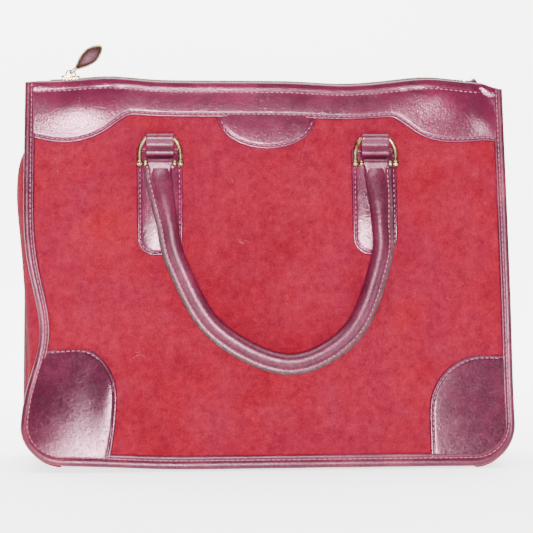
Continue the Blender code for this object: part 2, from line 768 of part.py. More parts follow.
def add_side(prefix, turned):
    """turned is 1 on the front and -1 on the back, where the side is turned half way round."""
    side = add_empty(
        prefix + "hinge", (0, -turned * BASE_DEPTH / 2, HINGE_HEIGHT),
        (-LEAN, 0, 0 if turned > 0 else math.pi))
    add_panel(prefix + "panel", side)
    add_lining(prefix + "lining", side)
    add_yoke(prefix + "yoke", side)
    add_scallop(prefix + "scallop", side)
    add_binding(prefix + "binding", side)
    add_zip_half(prefix, turned, side)
    pin_up = up_slope(RING_PIN_HEIGHT)
    handle_axis = add_empty(prefix + "handle_axis", flat_point(0, RING_OUT, pin_up), parent=side)
    for label, world_side in (("left", -1), ("right", 1)):
        local_side = world_side * turned
        x_middle = local_side * TAB_X
        add_corner(prefix + "corner_" + label, local_side, side)
        add_tab(prefix + "tab_" + label, x_middle, side)
        add_chape(prefix + "chape_" + label, x_middle, side)
        bar = flat_point(x_middle, RING_OUT, up_slope(RING_BAR_HEIGHT))
        ring_axis = add_empty(prefix + "ring_axis_" + label, bar, parent=side)
        add_ring(prefix + "ring_" + label, ring_axis)
        add_ring_pin(prefix + "ring_pin_" + label, ring_axis)
        add_loop(prefix + "handle_loop_" + label, x_middle, handle_axis)
    line = shift(handle_centreline(), handle_axis.location)
    facing = Vector((0, -1, 0))
    add_tube(prefix + "handle_grip", "leather", line, (HANDLE_RADIUS, HANDLE_BORE), 10, facing,
             handle_axis)
    add_sweep(prefix + "handle_core", "cord", line[1:-1], circle(CORE_RADIUS, 8), facing, handle_axis)
    return side


def add_pocket(parent):
    """A slip pocket on the back lining."""
    out = (-3.0 * MM, -1.6 * MM)
    rows = []
    for height in steps(78 * MM, 178 * MM, 4):
        rows.append([(up_slope(height), x) for x in steps(-75 * MM, 75 * MM, 6)])
    add_layer("inner_pocket", "lining", rows, out, parent)


def build():
    clear_scene()
    add_base()
    for label, side in (("left", -1), ("right", 1)):
        add_gusset(label + "_gusset", side)
        add_gusset_trim(label + "_gusset_trim", side)
    add_side("front_", 1)
    back = add_side("back_", -1)
    add_pocket(back)
    add_zip_pull(add_slider())


build()
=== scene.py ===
"""The looks of a zip-top travel bag: mottled red suede, glossy plum leather, antique brass.

The sewn pieces are built on the same leaning sides as the CAD model. In a side's own frame x
runs along the bag, "out" is the distance out of the bag and "up" the distance up the slope
from the hinge line; the back is the front turned half way round. soft() then moves every sewn
piece alike, so seams stay together where the bag sags.
"""
import json
import math

import bpy
import bmesh
import numpy as np
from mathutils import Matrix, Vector, noise


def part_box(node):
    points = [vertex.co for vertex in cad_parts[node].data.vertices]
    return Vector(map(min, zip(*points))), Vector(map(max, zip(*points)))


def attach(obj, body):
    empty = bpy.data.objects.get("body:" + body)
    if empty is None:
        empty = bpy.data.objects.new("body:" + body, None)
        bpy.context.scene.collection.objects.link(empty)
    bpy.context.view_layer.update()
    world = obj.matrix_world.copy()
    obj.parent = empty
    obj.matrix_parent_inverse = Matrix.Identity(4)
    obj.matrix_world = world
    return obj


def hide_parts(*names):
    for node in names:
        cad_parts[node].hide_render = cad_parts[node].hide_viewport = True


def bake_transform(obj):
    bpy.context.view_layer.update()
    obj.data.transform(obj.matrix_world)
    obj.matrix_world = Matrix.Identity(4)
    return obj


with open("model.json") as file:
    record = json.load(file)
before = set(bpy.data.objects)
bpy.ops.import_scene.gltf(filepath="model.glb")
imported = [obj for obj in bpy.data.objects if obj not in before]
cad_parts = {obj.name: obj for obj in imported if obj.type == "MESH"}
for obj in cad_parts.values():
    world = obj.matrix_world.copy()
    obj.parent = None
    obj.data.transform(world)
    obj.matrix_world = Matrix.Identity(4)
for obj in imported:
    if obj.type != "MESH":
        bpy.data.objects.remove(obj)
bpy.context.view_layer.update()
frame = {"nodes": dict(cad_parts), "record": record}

MM = 0.001

# ---------------------------------------------------------------- sizes, as in the frame

BEHAVIOUR = frame["record"]["behaviour"]
HINGE = [j for j in BEHAVIOUR["joints"] if j["name"] == "mouth_opening"][0]["pos_m"]
PANEL_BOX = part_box("front_panel")
HALF_DEPTH = -HINGE[1]
HINGE_HEIGHT = HINGE[2]
HALF_BASE = PANEL_BOX[1][0]
HALF_TOP = HALF_BASE - 4 * MM
HALF_TOP_DEPTH = 8 * MM
SIDE_TOP = 258 * MM
LEAN = math.atan((HALF_DEPTH - HALF_TOP_DEPTH) / (SIDE_TOP - HINGE_HEIGHT))
SIN_LEAN = math.sin(LEAN)
COS_LEAN = math.cos(LEAN)
SIDE_LENGTH = (SIDE_TOP - HINGE_HEIGHT) / COS_LEAN
CORNER_RADIUS = 27 * MM
SIDE_BULGE = 4 * MM

PANEL_OUT = 1.5 * MM
BINDING_WIDTH = 5.6 * MM
LINING_INSET = 5.5 * MM

BAND_BOTTOM = 235 * MM
SCALLOP_HALF_WIDTH = 33.5 * MM
SCALLOP_BOTTOM = 213.5 * MM

TAB_X = 72.6 * MM
TAB_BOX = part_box("front_tab_right")
TAB_WIDTH = TAB_BOX[1][0] - TAB_BOX[0][0]
TAB_TOP = 214 * MM
TAB_BOTTOM = 142 * MM
TAB_CORNER = 12 * MM

RING_OUT = 11.5 * MM
RING_BAR_HEIGHT = 219.6 * MM
RING_PIN_HEIGHT = 202.7 * MM
RING_HALF_WIDTH = 13.4 * MM
WIRE_RADIUS = 1.45 * MM

HANDLE_OUT = 13.3 * MM
HANDLE_START = 195 * MM
HANDLE_STEP_OUT = 28 * MM
HANDLE_LINE = [
    (-72.4 * MM, HANDLE_START), (-68 * MM, 164 * MM), (-61 * MM, 135 * MM), (-36 * MM, 92 * MM),
    (12 * MM, 69.5 * MM), (54 * MM, 90 * MM), (74 * MM, 136 * MM), (75.5 * MM, 165 * MM),
    (72.4 * MM, HANDLE_START)]

TEETH_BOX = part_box("front_zip_teeth")
ZIP_HEIGHT = 259.6 * MM
ZIP_LEFT = TEETH_BOX[0][0]
ZIP_RIGHT = 142 * MM
GUSSET_TOP = 252 * MM

HANDLE_RADIUS = 5.4 * MM
BALL_RADIUS = 2.45 * MM
DENT_DEPTH = {1: 12 * MM, -1: 6 * MM}
DENT_HEIGHT = 90 * MM
CORNER_LIFT = 3.4 * MM
TOP_SEAM = 6 * MM
TOOTH_PITCH = 2.3 * MM
SEAM_INSET = 2.3 * MM
STITCH_PITCH = 3.4 * MM
STITCH_LENGTH = 2.5 * MM
STITCH_RADIUS = 0.32 * MM


# ---------------------------------------------------------------- small tools

def steps(first, last, count):
    return [first + (last - first) * i / count for i in range(count + 1)]


def ease(value):
    value = min(max(value, 0.0), 1.0)
    return value * value * (3 - 2 * value)


def bell(value, centre, width):
    return math.exp(-((value - centre) / width) ** 2)


def arc(centre, radius, first, last, count):
    """Points on an arc, with the angles in degrees."""
    return [(centre[0] + radius * math.cos(t), centre[1] + radius * math.sin(t))
            for t in steps(math.radians(first), math.radians(last), count)]


def circle(radius, sides):
    turns = steps(0.0, 2 * math.pi, sides)[:-1]
    return [(radius * math.cos(t), radius * math.sin(t)) for t in turns]


def edge_places(length, middle_gap, both=True):
    """Places along a length, close together near its start, and near its end if both."""
    near = [d * MM for d in (0.0, 0.25, 0.6, 1.0, 1.5, 1.9, 2.3, 2.7, 3.2, 4.0, 5.2, 7.0)]
    far = near if both else [0.0]
    near = [d for d in near if d < 0.45 * length]
    far = [length - d for d in far if d < 0.45 * length][::-1]
    count = max(2, round((far[0] - near[-1]) / middle_gap))
    return near + steps(near[-1], far[0], count)[1:-1] + far


def smooth_line(points, steps_between):
    """A smooth curve through points, as Catmull-Rom pieces."""
    padded = [points[0]] + list(points) + [points[-1]]
    line = []
    for i in range(1, len(padded) - 2):
        before, first, last, after = [Vector(p) for p in padded[i - 1:i + 3]]
        for t in steps(0.0, 1.0, steps_between)[:-1]:
            near = 2 * first + (last - before) * t
            bend = (2 * before - 5 * first + 4 * last - after) * t ** 2
            twist = (3 * first - before - 3 * last + after) * t ** 3
            line.append(0.5 * (near + bend + twist))
    return line + [Vector(points[-1])]


def resample(points, gap):
    """(point, tangent) at even distances along a line of points."""
    lengths = [0.0]
    for a, b in zip(points, points[1:]):
        lengths.append(lengths[-1] + (b - a).length)
    count = max(1, int(lengths[-1] / gap))
    result = []
    segment = 0
    for i in range(count):
        target = (i + 0.5) * lengths[-1] / count
        while lengths[segment + 1] < target:
            segment += 1
        a, b = points[segment], points[segment + 1]
        share = (target - lengths[segment]) / max(lengths[segment + 1] - lengths[segment], 1e-9)
        result.append((a.lerp(b, share), (b - a).normalized()))
    return result


def offset_line(points, distance):
    """A 2-D line moved sideways, to the left of its direction."""
    moved = []
    for i, (x, y) in enumerate(points):
        ax, ay = points[max(i - 1, 0)]
        bx, by = points[min(i + 1, len(points) - 1)]
        length = math.hypot(bx - ax, by - ay)
        moved.append((x - (by - ay) / length * distance, y + (bx - ax) / length * distance))
    return moved


def distances(points, line):
    """Distance from each 2-D point to a 2-D line of points."""
    p = np.array(points)[:, None, :]
    a = np.array(line[:-1])[None, :, :]
    b = np.array(line[1:])[None, :, :]
    along = b - a
    share = ((p - a) * along).sum(-1) / np.maximum((along ** 2).sum(-1), 1e-12)
    share = np.clip(share, 0, 1)[..., None]
    return np.sqrt((((a + along * share) - p) ** 2).sum(-1)).min(1)


# ---------------------------------------------------------------- the side's surface

def up_slope(height):
    return (height - HINGE_HEIGHT) / COS_LEAN


def seam_depth(height):
    """Half the depth of the bag between the sides' inner faces."""
    return HALF_DEPTH - (height - HINGE_HEIGHT) * math.tan(LEAN)


def half_width(up, inset=0.0):
    if up >= CORNER_RADIUS:
        taper = (up - CORNER_RADIUS) / (SIDE_LENGTH - CORNER_RADIUS)
        return HALF_BASE - inset - taper * (HALF_BASE - HALF_TOP)
    reach = (CORNER_RADIUS - inset) ** 2 - (CORNER_RADIUS - up) ** 2
    return HALF_BASE - CORNER_RADIUS + math.sqrt(max(reach, 0.0))


def wave(world_x, height):
    """How far the top edge rises or dips, fading out below it."""
    rise = 2.6 * bell(world_x, -106 * MM, 24 * MM) + 2.8 * bell(world_x, 110 * MM, 24 * MM)
    dip = 1.8 * bell(world_x, 52 * MM, 26 * MM) + 3.5 * ease((world_x - 146 * MM) / (14 * MM))
    return (rise - dip) * MM * ease((height - 175 * MM) / (80 * MM))


def dent(x, up, turned):
    """How far a side's left end is pushed in, level with the top of the corner patch."""
    reach = ease((-x - 80 * MM) / (80 * MM))
    width = 42 * MM if up > DENT_HEIGHT else 36 * MM
    return DENT_DEPTH[turned] * reach * bell(up, DENT_HEIGHT, width)


def lift(world_x, height):
    """How far the bottom edge curls up off the floor towards its left end."""
    return CORNER_LIFT * ease((-world_x - 55 * MM) / (95 * MM)) * (1 - ease(height / (60 * MM)))


def set_back(x, up, turned):
    """How far a side curls back towards the middle of the bag near its lower corners."""
    left = max(0.0, (-x - 98 * MM) / (64 * MM)) ** 2 * bell(up, 50 * MM, 46 * MM)
    right = max(0.0, (x - 90 * MM) / (72 * MM)) ** 2 * bell(up, 45 * MM, 50 * MM)
    return 0.35 * dent(x, up, turned) + 8.0 * MM * left + 3.5 * MM * right


def soft(x, out, up, turned):
    """Moves a point of a sewn piece with the bag's sag."""
    rise = wave(turned * x, up) + lift(turned * x, up)
    return x + dent(x, up, turned), out - set_back(x, up, turned), up + rise


def relief(x, up, turned):
    """Distance out of the side's inner face: the bulge and the soft waves in the suede."""
    bulge = math.sin(math.pi * up / SIDE_LENGTH) * math.cos(math.pi * x / (2 * HALF_BASE))
    broad = noise.noise(Vector((x * 13, up * 15, 3.1 + turned)))
    small = noise.noise(Vector((x * 34, up * 30, 8.7 + turned)))
    edge = min(1.0, (half_width(up) - abs(x)) / (30 * MM), (up + 2 * MM) / (30 * MM),
               (SIDE_LENGTH + 2 * MM - up) / (30 * MM))
    return SIDE_BULGE * bulge + (0.75 * broad + 0.22 * small) * MM * max(edge, 0.0)


def to_world(x, out, up, turned):
    y = -out * COS_LEAN + up * SIN_LEAN - HALF_DEPTH
    z = out * SIN_LEAN + up * COS_LEAN + HINGE_HEIGHT
    return Vector((turned * x, turned * y, z))


def side_normal(turned):
    """The direction out of a side, in the world."""
    return Vector((0, -turned * COS_LEAN, SIN_LEAN))


def side_up(turned):
    """The direction up a side's slope, in the world."""
    return Vector((0, turned * SIN_LEAN, COS_LEAN))


def sewn(x, out, up, turned):
    """World place of a point of a sewn piece, out being measured from the suede's inner face."""
    x, out, up = soft(x, out + relief(x, up, turned), up, turned)
    return to_world(x, out, up, turned)


# ---------------------------------------------------------------- mesh building

def add_piece(name, verts, faces, material, body, slot, replaces=(), sharp=38):
    mesh = bpy.data.meshes.new(name)
    mesh.from_pydata([tuple(v) for v in verts], [], faces)
    shape = bmesh.new()
    shape.from_mesh(mesh)
    bmesh.ops.recalc_face_normals(shape, faces=shape.faces)
    shape.to_mesh(mesh)
    shape.free()
    mesh.materials.append(material)
    mesh.shade_smooth()
    mesh.set_sharp_from_angle(angle=math.radians(sharp))
    piece = bpy.data.objects.new(name, mesh)
    bpy.context.collection.objects.link(piece)
    if isinstance(body, tuple):
        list(body)
        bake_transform(piece)
    else:
        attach(piece, body)
    if replaces:
        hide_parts(*replaces)
    return piece


def ring_faces(rings, count):
    """Quads between rings of count points each."""
    faces = []
    for i in range(rings - 1):
        for j in range(count):
            a = i * count + j
            b = i * count + (j + 1) % count
            faces.append((a, b, b + count, a + count))
    return faces


def ring_stack(rings):
    """Loops joined one to the next, with both ends closed."""
    count = len(rings[0])
    verts = [p for ring in rings for p in ring]
    caps = [tuple(range(count)), tuple(range(len(verts) - 1, len(verts) - count - 1, -1))]
    return verts, ring_faces(len(rings), count) + caps


def sheet_mesh(outer, inner):
    """Vertices and faces of a closed sheet between two grids of points."""
    rows = len(outer)
    columns = len(outer[0])
    count = rows * columns
    verts = [p for row in outer for p in row] + [p for row in inner for p in row]
    faces = []
    for i in range(rows - 1):
        for j in range(columns - 1):
            a = i * columns + j
            quad = (a, a + 1, a + columns + 1, a + columns)
            faces.append(quad)
            faces.append(tuple(v + count for v in quad[::-1]))
    edge = list(range(columns)) + [i * columns + columns - 1 for i in range(1, rows)]
    edge += [(rows - 1) * columns + j for j in range(columns - 2, -1, -1)]
    edge += [i * columns for i in range(rows - 2, 0, -1)]
    for a, b in zip(edge, edge[1:] + edge[:1]):
        faces.append((b, a, a + count, b + count))
    return verts, faces


def sweep_mesh(path, sections, normal, closed=False):
    """A closed section carried along a path. sections holds one list of (across, through)
    for each point, or one for all; through follows the normal."""
    total = len(path)
    rings = []
    for i, point in enumerate(path):
        ahead = path[(i + 1) % total] if closed else path[min(i + 1, total - 1)]
        behind = path[i - 1] if closed else path[max(i - 1, 0)]
        tangent = (ahead - behind).normalized()
        across = tangent.cross(normal).normalized()
        through = across.cross(tangent).normalized()
        section = sections[i] if isinstance(sections[0], list) else sections
        rings.append([point + across * a + through * b for a, b in section])
    if not closed:
        return ring_stack(rings)
    count = len(rings[0])
    verts = [p for ring in rings for p in ring]
    faces = ring_faces(total + 1, count)
    return verts, [tuple(v % len(verts) for v in face) for face in faces]


def turned_mesh(profile, sides, place):
    """A solid of revolution. profile holds (along, radius); place takes (along, a, b)."""
    return ring_stack([[place(along, a, b) for a, b in circle(radius, sides)]
                       for along, radius in profile])


def join_meshes(parts):
    """One list of vertices and faces from many."""
    verts = []
    faces = []
    for part_verts, part_faces in parts:
        start = len(verts)
        verts += part_verts
        faces += [tuple(v + start for v in face) for face in part_faces]
    return verts, faces


def stitch_mesh(point, tangent, normal):
    """One stitch: a short thread whose ends dip into the leather."""
    across = tangent.cross(normal).normalized()
    rings = ((-0.5, 0.45, -0.30), (-0.30, 1.0, 0.10), (0.30, 1.0, 0.10), (0.5, 0.45, -0.30))
    length, radius = STITCH_LENGTH, STITCH_RADIUS
    loops = []
    for along, size, height in rings:
        centre = point + tangent * (along * length) + normal * (height * radius * 2)
        loops.append([centre + across * a + normal * b for a, b in circle(radius * size, 6)])
    return ring_stack(loops)


def stitch_row(points, normal):
    return [stitch_mesh(p, t, normal) for p, t in resample(points, STITCH_PITCH)]


# ---------------------------------------------------------------- materials

def linear(red, green, blue):
    """Linear colour of an sRGB one given from 0 to 255."""
    result = []
    for value in (red, green, blue):
        value /= 255
        result.append(value / 12.92 if value <= 0.04045 else ((value + 0.055) / 1.055) ** 2.4)
    return (*result, 1.0)


class Nodes:
    """Shorthand for building one material's nodes."""

    def __init__(self, name):
        self.material = bpy.data.materials.new(name)
        self.material.use_nodes = True
        self.tree = self.material.node_tree
        self.shader = self.tree.nodes["Principled BSDF"]
        self.place = self.tree.nodes.new("ShaderNodeTexCoord").outputs["Object"]

    def add(self, kind, inputs=None, **settings):
        node = self.tree.nodes.new(kind)
        for key, value in settings.items():
            setattr(node, key, value)
        for key, value in (inputs or {}).items():
            self.set(node.inputs[key], value)
        return node

    def set(self, socket, value):
        if isinstance(value, bpy.types.NodeSocket):
            self.tree.links.new(value, socket)
        else:
            socket.default_value = value

    def noise(self, scale, detail=3.0, roughness=0.5, distortion=0.0, place=None):
        node = self.add("ShaderNodeTexNoise", {
            "Vector": place or self.place, "Scale": scale, "Detail": detail,
            "Roughness": roughness, "Distortion": distortion})
        return node.outputs["Fac"]

    def ramp(self, value, stops):
        node = self.add("ShaderNodeValToRGB", {"Fac": value})
        ramp = node.color_ramp
        while len(ramp.elements) < len(stops):
            ramp.elements.new(0.5)
        for element, (position, colour) in zip(ramp.elements, stops):
            element.position = position
            element.color = colour
        return node.outputs["Color"]

    def mix(self, share, first, second, blend="MIX"):
        node = self.add("ShaderNodeMix", data_type="RGBA", blend_type=blend)
        self.set(node.inputs["Factor"], share)
        self.set(node.inputs["A"], first)
        self.set(node.inputs["B"], second)
        return node.outputs["Result"]

    def map(self, value, low, high, new_low, new_high):
        node = self.add("ShaderNodeMapRange", {
            "Value": value, "From Min": low, "From Max": high, "To Min": new_low,
            "To Max": new_high})
        return node.outputs["Result"]

    def maths(self, operation, first, second):
        node = self.add("ShaderNodeMath", operation=operation)
        self.set(node.inputs[0], first)
        self.set(node.inputs[1], second)
        return node.outputs["Value"]

    def scaled(self, x, y, z):
        node = self.add("ShaderNodeMapping", {"Vector": self.place, "Scale": (x, y, z)})
        return node.outputs["Vector"]

    def bump(self, height, distance, strength):
        node = self.add("ShaderNodeBump", {
            "Height": height, "Distance": distance, "Strength": strength})
        return node.outputs["Normal"]

    def finish(self, **sockets):
        for name, value in sockets.items():
            self.set(self.shader.inputs[name.replace("_", " ")], value)
        return self.material


def grey(value):
    return (value, value, value, 1.0)


def suede_material():
    """Napped red suede: soft brighter and greyer patches, a few scuffs, a fine short pile."""
    n = Nodes("red_suede")
    broad = n.noise(9, 3, 0.5, 0.3)
    patches = n.noise(42, 5, 0.68, 0.2)
    specks = n.noise(190, 4, 0.7)
    nap = n.noise(950, 3, 0.7)
    base = n.ramp(broad, [(0.32, linear(88, 6, 20)), (0.46, linear(99, 8, 24)),
                          (0.57, linear(92, 10, 28)), (0.70, linear(106, 8, 18))])
    bloom = n.ramp(patches, [(0.38, grey(0)), (0.72, grey(0.65))])
    colour = n.mix(bloom, base, linear(101, 20, 38))
    blotch = n.noise(24, 5, 0.65, 0.3, n.scaled(1, 1, 1.5))
    colour = n.mix(n.ramp(blotch, [(0.52, grey(0)), (0.70, grey(0.45))]), colour, linear(92, 8, 28))
    scuff = n.ramp(n.noise(60, 6, 0.7, 1.0), [(0.66, grey(0)), (0.76, grey(0.6))])
    colour = n.mix(scuff, colour, linear(160, 66, 84))
    pile = n.maths("ADD", n.maths("MULTIPLY", nap, 0.5), n.maths("MULTIPLY", specks, 0.5))
    colour = n.mix(1.0, colour, n.map(pile, 0.32, 0.68, 0.55, 1.38), "MULTIPLY")
    normal = n.bump(n.maths("ADD", nap, specks), 0.45 * MM, 0.9)
    return n.finish(Base_Color=colour, Roughness=0.92, Normal=normal, Sheen_Weight=0.03,
                    Sheen_Roughness=0.5, Sheen_Tint=linear(255, 110, 130),
                    Specular_IOR_Level=0.06)


def leather_material(name, colours, rough=(0.19, 0.28), worn=0.35, shine=0.65):
    """Smooth glossy leather: pebbled grain, fine creases, uneven colour and worn high spots."""
    n = Nodes(name)
    dark, middle, light = colours
    cloud = n.noise(30, 4, 0.6, 0.5)
    colour = n.ramp(cloud, [(0.34, dark), (0.52, middle), (0.72, light)])
    grain = n.noise(700, 4, 0.68)
    creases = n.noise(330, 3, 0.6, 0.3)
    colour = n.mix(n.ramp(grain, [(0.42, grey(0.55)), (0.60, grey(0.0))]), colour, dark)
    specks = n.ramp(n.noise(640, 3, 0.6), [(0.60, grey(0)), (0.72, grey(worn))])
    colour = n.mix(specks, colour, light)
    roughness = n.map(n.noise(110, 4, 0.6), 0.3, 0.7, *rough)
    height = n.maths("ADD", grain, n.maths("MULTIPLY", creases, 0.3))
    normal = n.bump(height, 0.21 * MM, 0.7)
    sparkle = n.map(n.noise(480, 3, 0.65), 0.38, 0.62, 0.7 * shine, 1.28 * shine)
    return n.finish(Base_Color=colour, Roughness=roughness, Normal=normal,
                    Specular_Tint=linear(252, 186, 210), Specular_IOR_Level=sparkle)


def edge_material():
    """Cut and painted edge of the handle's seam, worn to taupe."""
    n = Nodes("worn_edge")
    grains = n.noise(300, 4, 0.6, 0.4)
    colour = n.ramp(grains, [(0.3, linear(34, 17, 20)), (0.55, linear(54, 33, 36)),
                             (0.8, linear(84, 58, 58))])
    normal = n.bump(grains, 0.12 * MM, 0.6)
    return n.finish(Base_Color=colour, Roughness=0.7, Normal=normal, Specular_IOR_Level=0.2)


def thread_material(name, dark, light):
    n = Nodes(name)
    ply = n.noise(1600, 2, 0.6)
    colour = n.ramp(ply, [(0.35, dark), (0.65, light)])
    return n.finish(Base_Color=colour, Roughness=0.6, Normal=n.bump(ply, 0.08 * MM, 0.8))


def brass_material(name, dark, middle, light, rough):
    """Antique brass, polished on the high spots and browned elsewhere."""
    n = Nodes(name)
    tarnish = n.noise(220, 4, 0.65, 0.6)
    colour = n.ramp(tarnish, [(0.34, dark), (0.52, middle), (0.70, light)])
    roughness = n.map(n.noise(420, 3, 0.6), 0.3, 0.7, *rough)
    return n.finish(Base_Color=colour, Metallic=1.0, Roughness=roughness,
                    Normal=n.bump(tarnish, 0.06 * MM, 0.5))


def weave_material(name, dark, light, scale):
    """Plain woven cloth, with threads over and under each other."""
    n = Nodes(name)
    waves = [n.add("ShaderNodeTexWave", {"Vector": n.place, "Scale": scale, "Distortion": 0.4},
                   wave_type="BANDS", bands_direction=axis).outputs["Fac"] for axis in "XZ"]
    threads = n.maths("MAXIMUM", *waves)
    colour = n.mix(threads, dark, light)
    colour = n.mix(n.ramp(n.noise(60, 3), [(0.4, grey(0)), (0.8, grey(0.35))]), colour, dark)
    return n.finish(Base_Color=colour, Roughness=0.85, Normal=n.bump(threads, 0.15 * MM, 0.7))


def board_material():
    n = Nodes("stiffener_board")
    fibres = n.noise(200, 5, 0.7, 0.3, n.scaled(1, 4, 1))
    colour = n.ramp(fibres, [(0.3, linear(120, 100, 78)), (0.7, linear(160, 138, 108))])
    return n.finish(Base_Color=colour, Roughness=0.9, Normal=n.bump(fibres, 0.1 * MM, 0.5))


PLUM = (linear(50, 8, 24), linear(70, 14, 36), linear(96, 26, 50))
SUEDE = suede_material()
LEATHER = leather_material("plum_leather", PLUM)
# Handle leather: the plum leather painted darker, as painted shade on the handle, the chapes and the
# loops, with its own roughness and shine.
SHADED_HANDLE_LEATHER = leather_material("handle_leather", (linear(44, 6, 20), linear(60, 11, 30),
                                             linear(84, 22, 44)), (0.32, 0.42), shine=0.62)
# Corner leather: the plum leather painted darker still, as painted shade on the bottom corner patches.
SHADED_CORNER_LEATHER = leather_material("corner_leather", (linear(36, 4, 16), linear(50, 8, 25),
                                             linear(72, 17, 37)), (0.20, 0.29))
BINDING = leather_material("binding_leather", (linear(44, 7, 20), linear(62, 11, 29),
                                               linear(100, 32, 48)), (0.28, 0.45), shine=0.5)
INLAY = leather_material("inlay_leather", (linear(22, 10, 12), linear(36, 18, 20),
                                           linear(70, 44, 42)), (0.4, 0.55), shine=0.25)
EDGE = edge_material()
THREAD = thread_material("plum_thread", linear(96, 34, 56), linear(150, 84, 106))
BRASS = brass_material("antique_brass", linear(84, 64, 40), linear(146, 122, 88),
                       linear(192, 172, 138), (0.2, 0.4))
DARK_BRASS = brass_material("tarnished_brass", linear(42, 32, 22), linear(74, 60, 44),
                            linear(120, 102, 80), (0.35, 0.55))
LINING = weave_material("lining_cloth", linear(58, 26, 34), linear(92, 44, 54), 700)
TAPE = weave_material("zip_tape_cloth", linear(40, 26, 22), linear(66, 48, 40), 900)
BOARD = board_material()


# ---------------------------------------------------------------- one side's sewn pieces

def side_rows(bottom, top, inset, gap):
    """Places up the slope, even in turn round the bottom corners and in height above."""
    radius = CORNER_RADIUS - inset
    rows = [CORNER_RADIUS - radius * math.cos(t) for t in steps(0, math.pi / 2, 14)]
    rows = [r for r in rows if r > bottom + 0.5 * MM]
    count = round((top - CORNER_RADIUS) / gap)
    return [bottom] + rows + steps(CORNER_RADIUS, top, count)[1:]


def side_sheet(rows, inset, columns, outs, turned):
    """A sheet over a whole side, its two faces at the places given out of the side."""
    faces = []
    for out in outs:
        grid = []
        for up in rows:
            wide = half_width(up, inset)
            grid.append([sewn(x, out, up, turned) for x in steps(-wide, wide, columns)])
        faces.append(grid)
    return sheet_mesh(*faces)


def build_panel(prefix, turned, body):
    rows = side_rows(0.0, SIDE_LENGTH, 0.0, 3.5 * MM)
    add_piece(prefix + "suede", *side_sheet(rows, 0.0, 90, (PANEL_OUT, 0.0), turned), SUEDE,
              body, "suede", [prefix + "panel"])


def build_lining(prefix, turned, body):
    rows = side_rows(9 * MM, SIDE_LENGTH - 3 * MM, LINING_INSET, 12 * MM)
    mesh = side_sheet(rows, LINING_INSET, 40, (-0.3 * MM, -1.2 * MM), turned)
    add_piece(prefix + "inner_cloth", *mesh, LINING, body, "lining", [prefix + "lining"])


def round_over(share):
    """Profile of a quarter-round edge, rising from 0 to 1."""
    return math.sqrt(max(0.0, 1 - (1 - min(share, 1.0)) ** 2))


def leather_height(distance, thickness, puff):
    """Height of a sewn leather patch over the suede, at a distance from its edge."""
    height = thickness * round_over(distance / (0.6 * MM))
    height += 0.18 * MM * bell(distance, 1.3 * MM, 0.7 * MM)
    height -= 0.60 * MM * bell(distance, SEAM_INSET, 0.5 * MM)
    if distance > SEAM_INSET:
        height += puff * (1 - math.exp(-(distance - SEAM_INSET) / (6 * MM)))
    return height


def build_patch(name, grid, outline, turned, body, replaces, thickness=1.3 * MM, puff=0.9 * MM,
                extra=None, material=LEATHER):
    """A puffed leather patch. grid holds rows of (x, up); outline is its sewn edge."""
    flat = [p for row in grid for p in row]
    depths = distances(flat, outline)
    columns = len(grid[0])
    outer = []
    inner = []
    for i, row in enumerate(grid):
        outer_row = []
        for j, (x, up) in enumerate(row):
            height = leather_height(depths[i * columns + j], thickness, puff)
            if extra:
                height += extra(x, up)
            outer_row.append(sewn(x, PANEL_OUT + height, up, turned))
        outer.append(outer_row)
        inner.append([sewn(x, PANEL_OUT - 0.4 * MM, up, turned) for x, up in row])
    return add_piece(name, *sheet_mesh(outer, inner), material, body, "leather", replaces, 60)


def patch_stitches(line, turned, out, extra=None):
    """Stitches along a line of (x, up) on a side, out being their height over the suede."""
    points = []
    for x, up in line:
        height = out + (extra(x, up) if extra else 0.0)
        points.append(sewn(x, PANEL_OUT + height, up, turned))
    return stitch_row(points, side_normal(turned))


LEFT_DROP = [(88, 235), (92.5, 234.4), (97, 232), (103, 227.6), (110, 223.2), (119, 219.6),
             (130, 217.6), (141, 217.8), (152, 219.8), (166, 223.5)]
RIGHT_DROP = [(82, 235), (86.5, 234.2), (91, 231.4), (96.5, 227.2), (103, 222.6), (110, 219.4),
              (118, 217.7), (130, 217.6), (146, 219.2), (166, 222)]
DROP_LINES = {name: np.array([tuple(p) for p in smooth_line(points, 8)]) * MM
              for name, points in (("left", LEFT_DROP), ("right", RIGHT_DROP))}


def yoke_bottom(x, turned):
    """The yoke's lower edge: level in the middle, with a rounded drop towards each end."""
    line = DROP_LINES["left" if x * turned < 0 else "right"]
    return up_slope(float(np.interp(abs(x), line[:, 0], line[:, 1])))


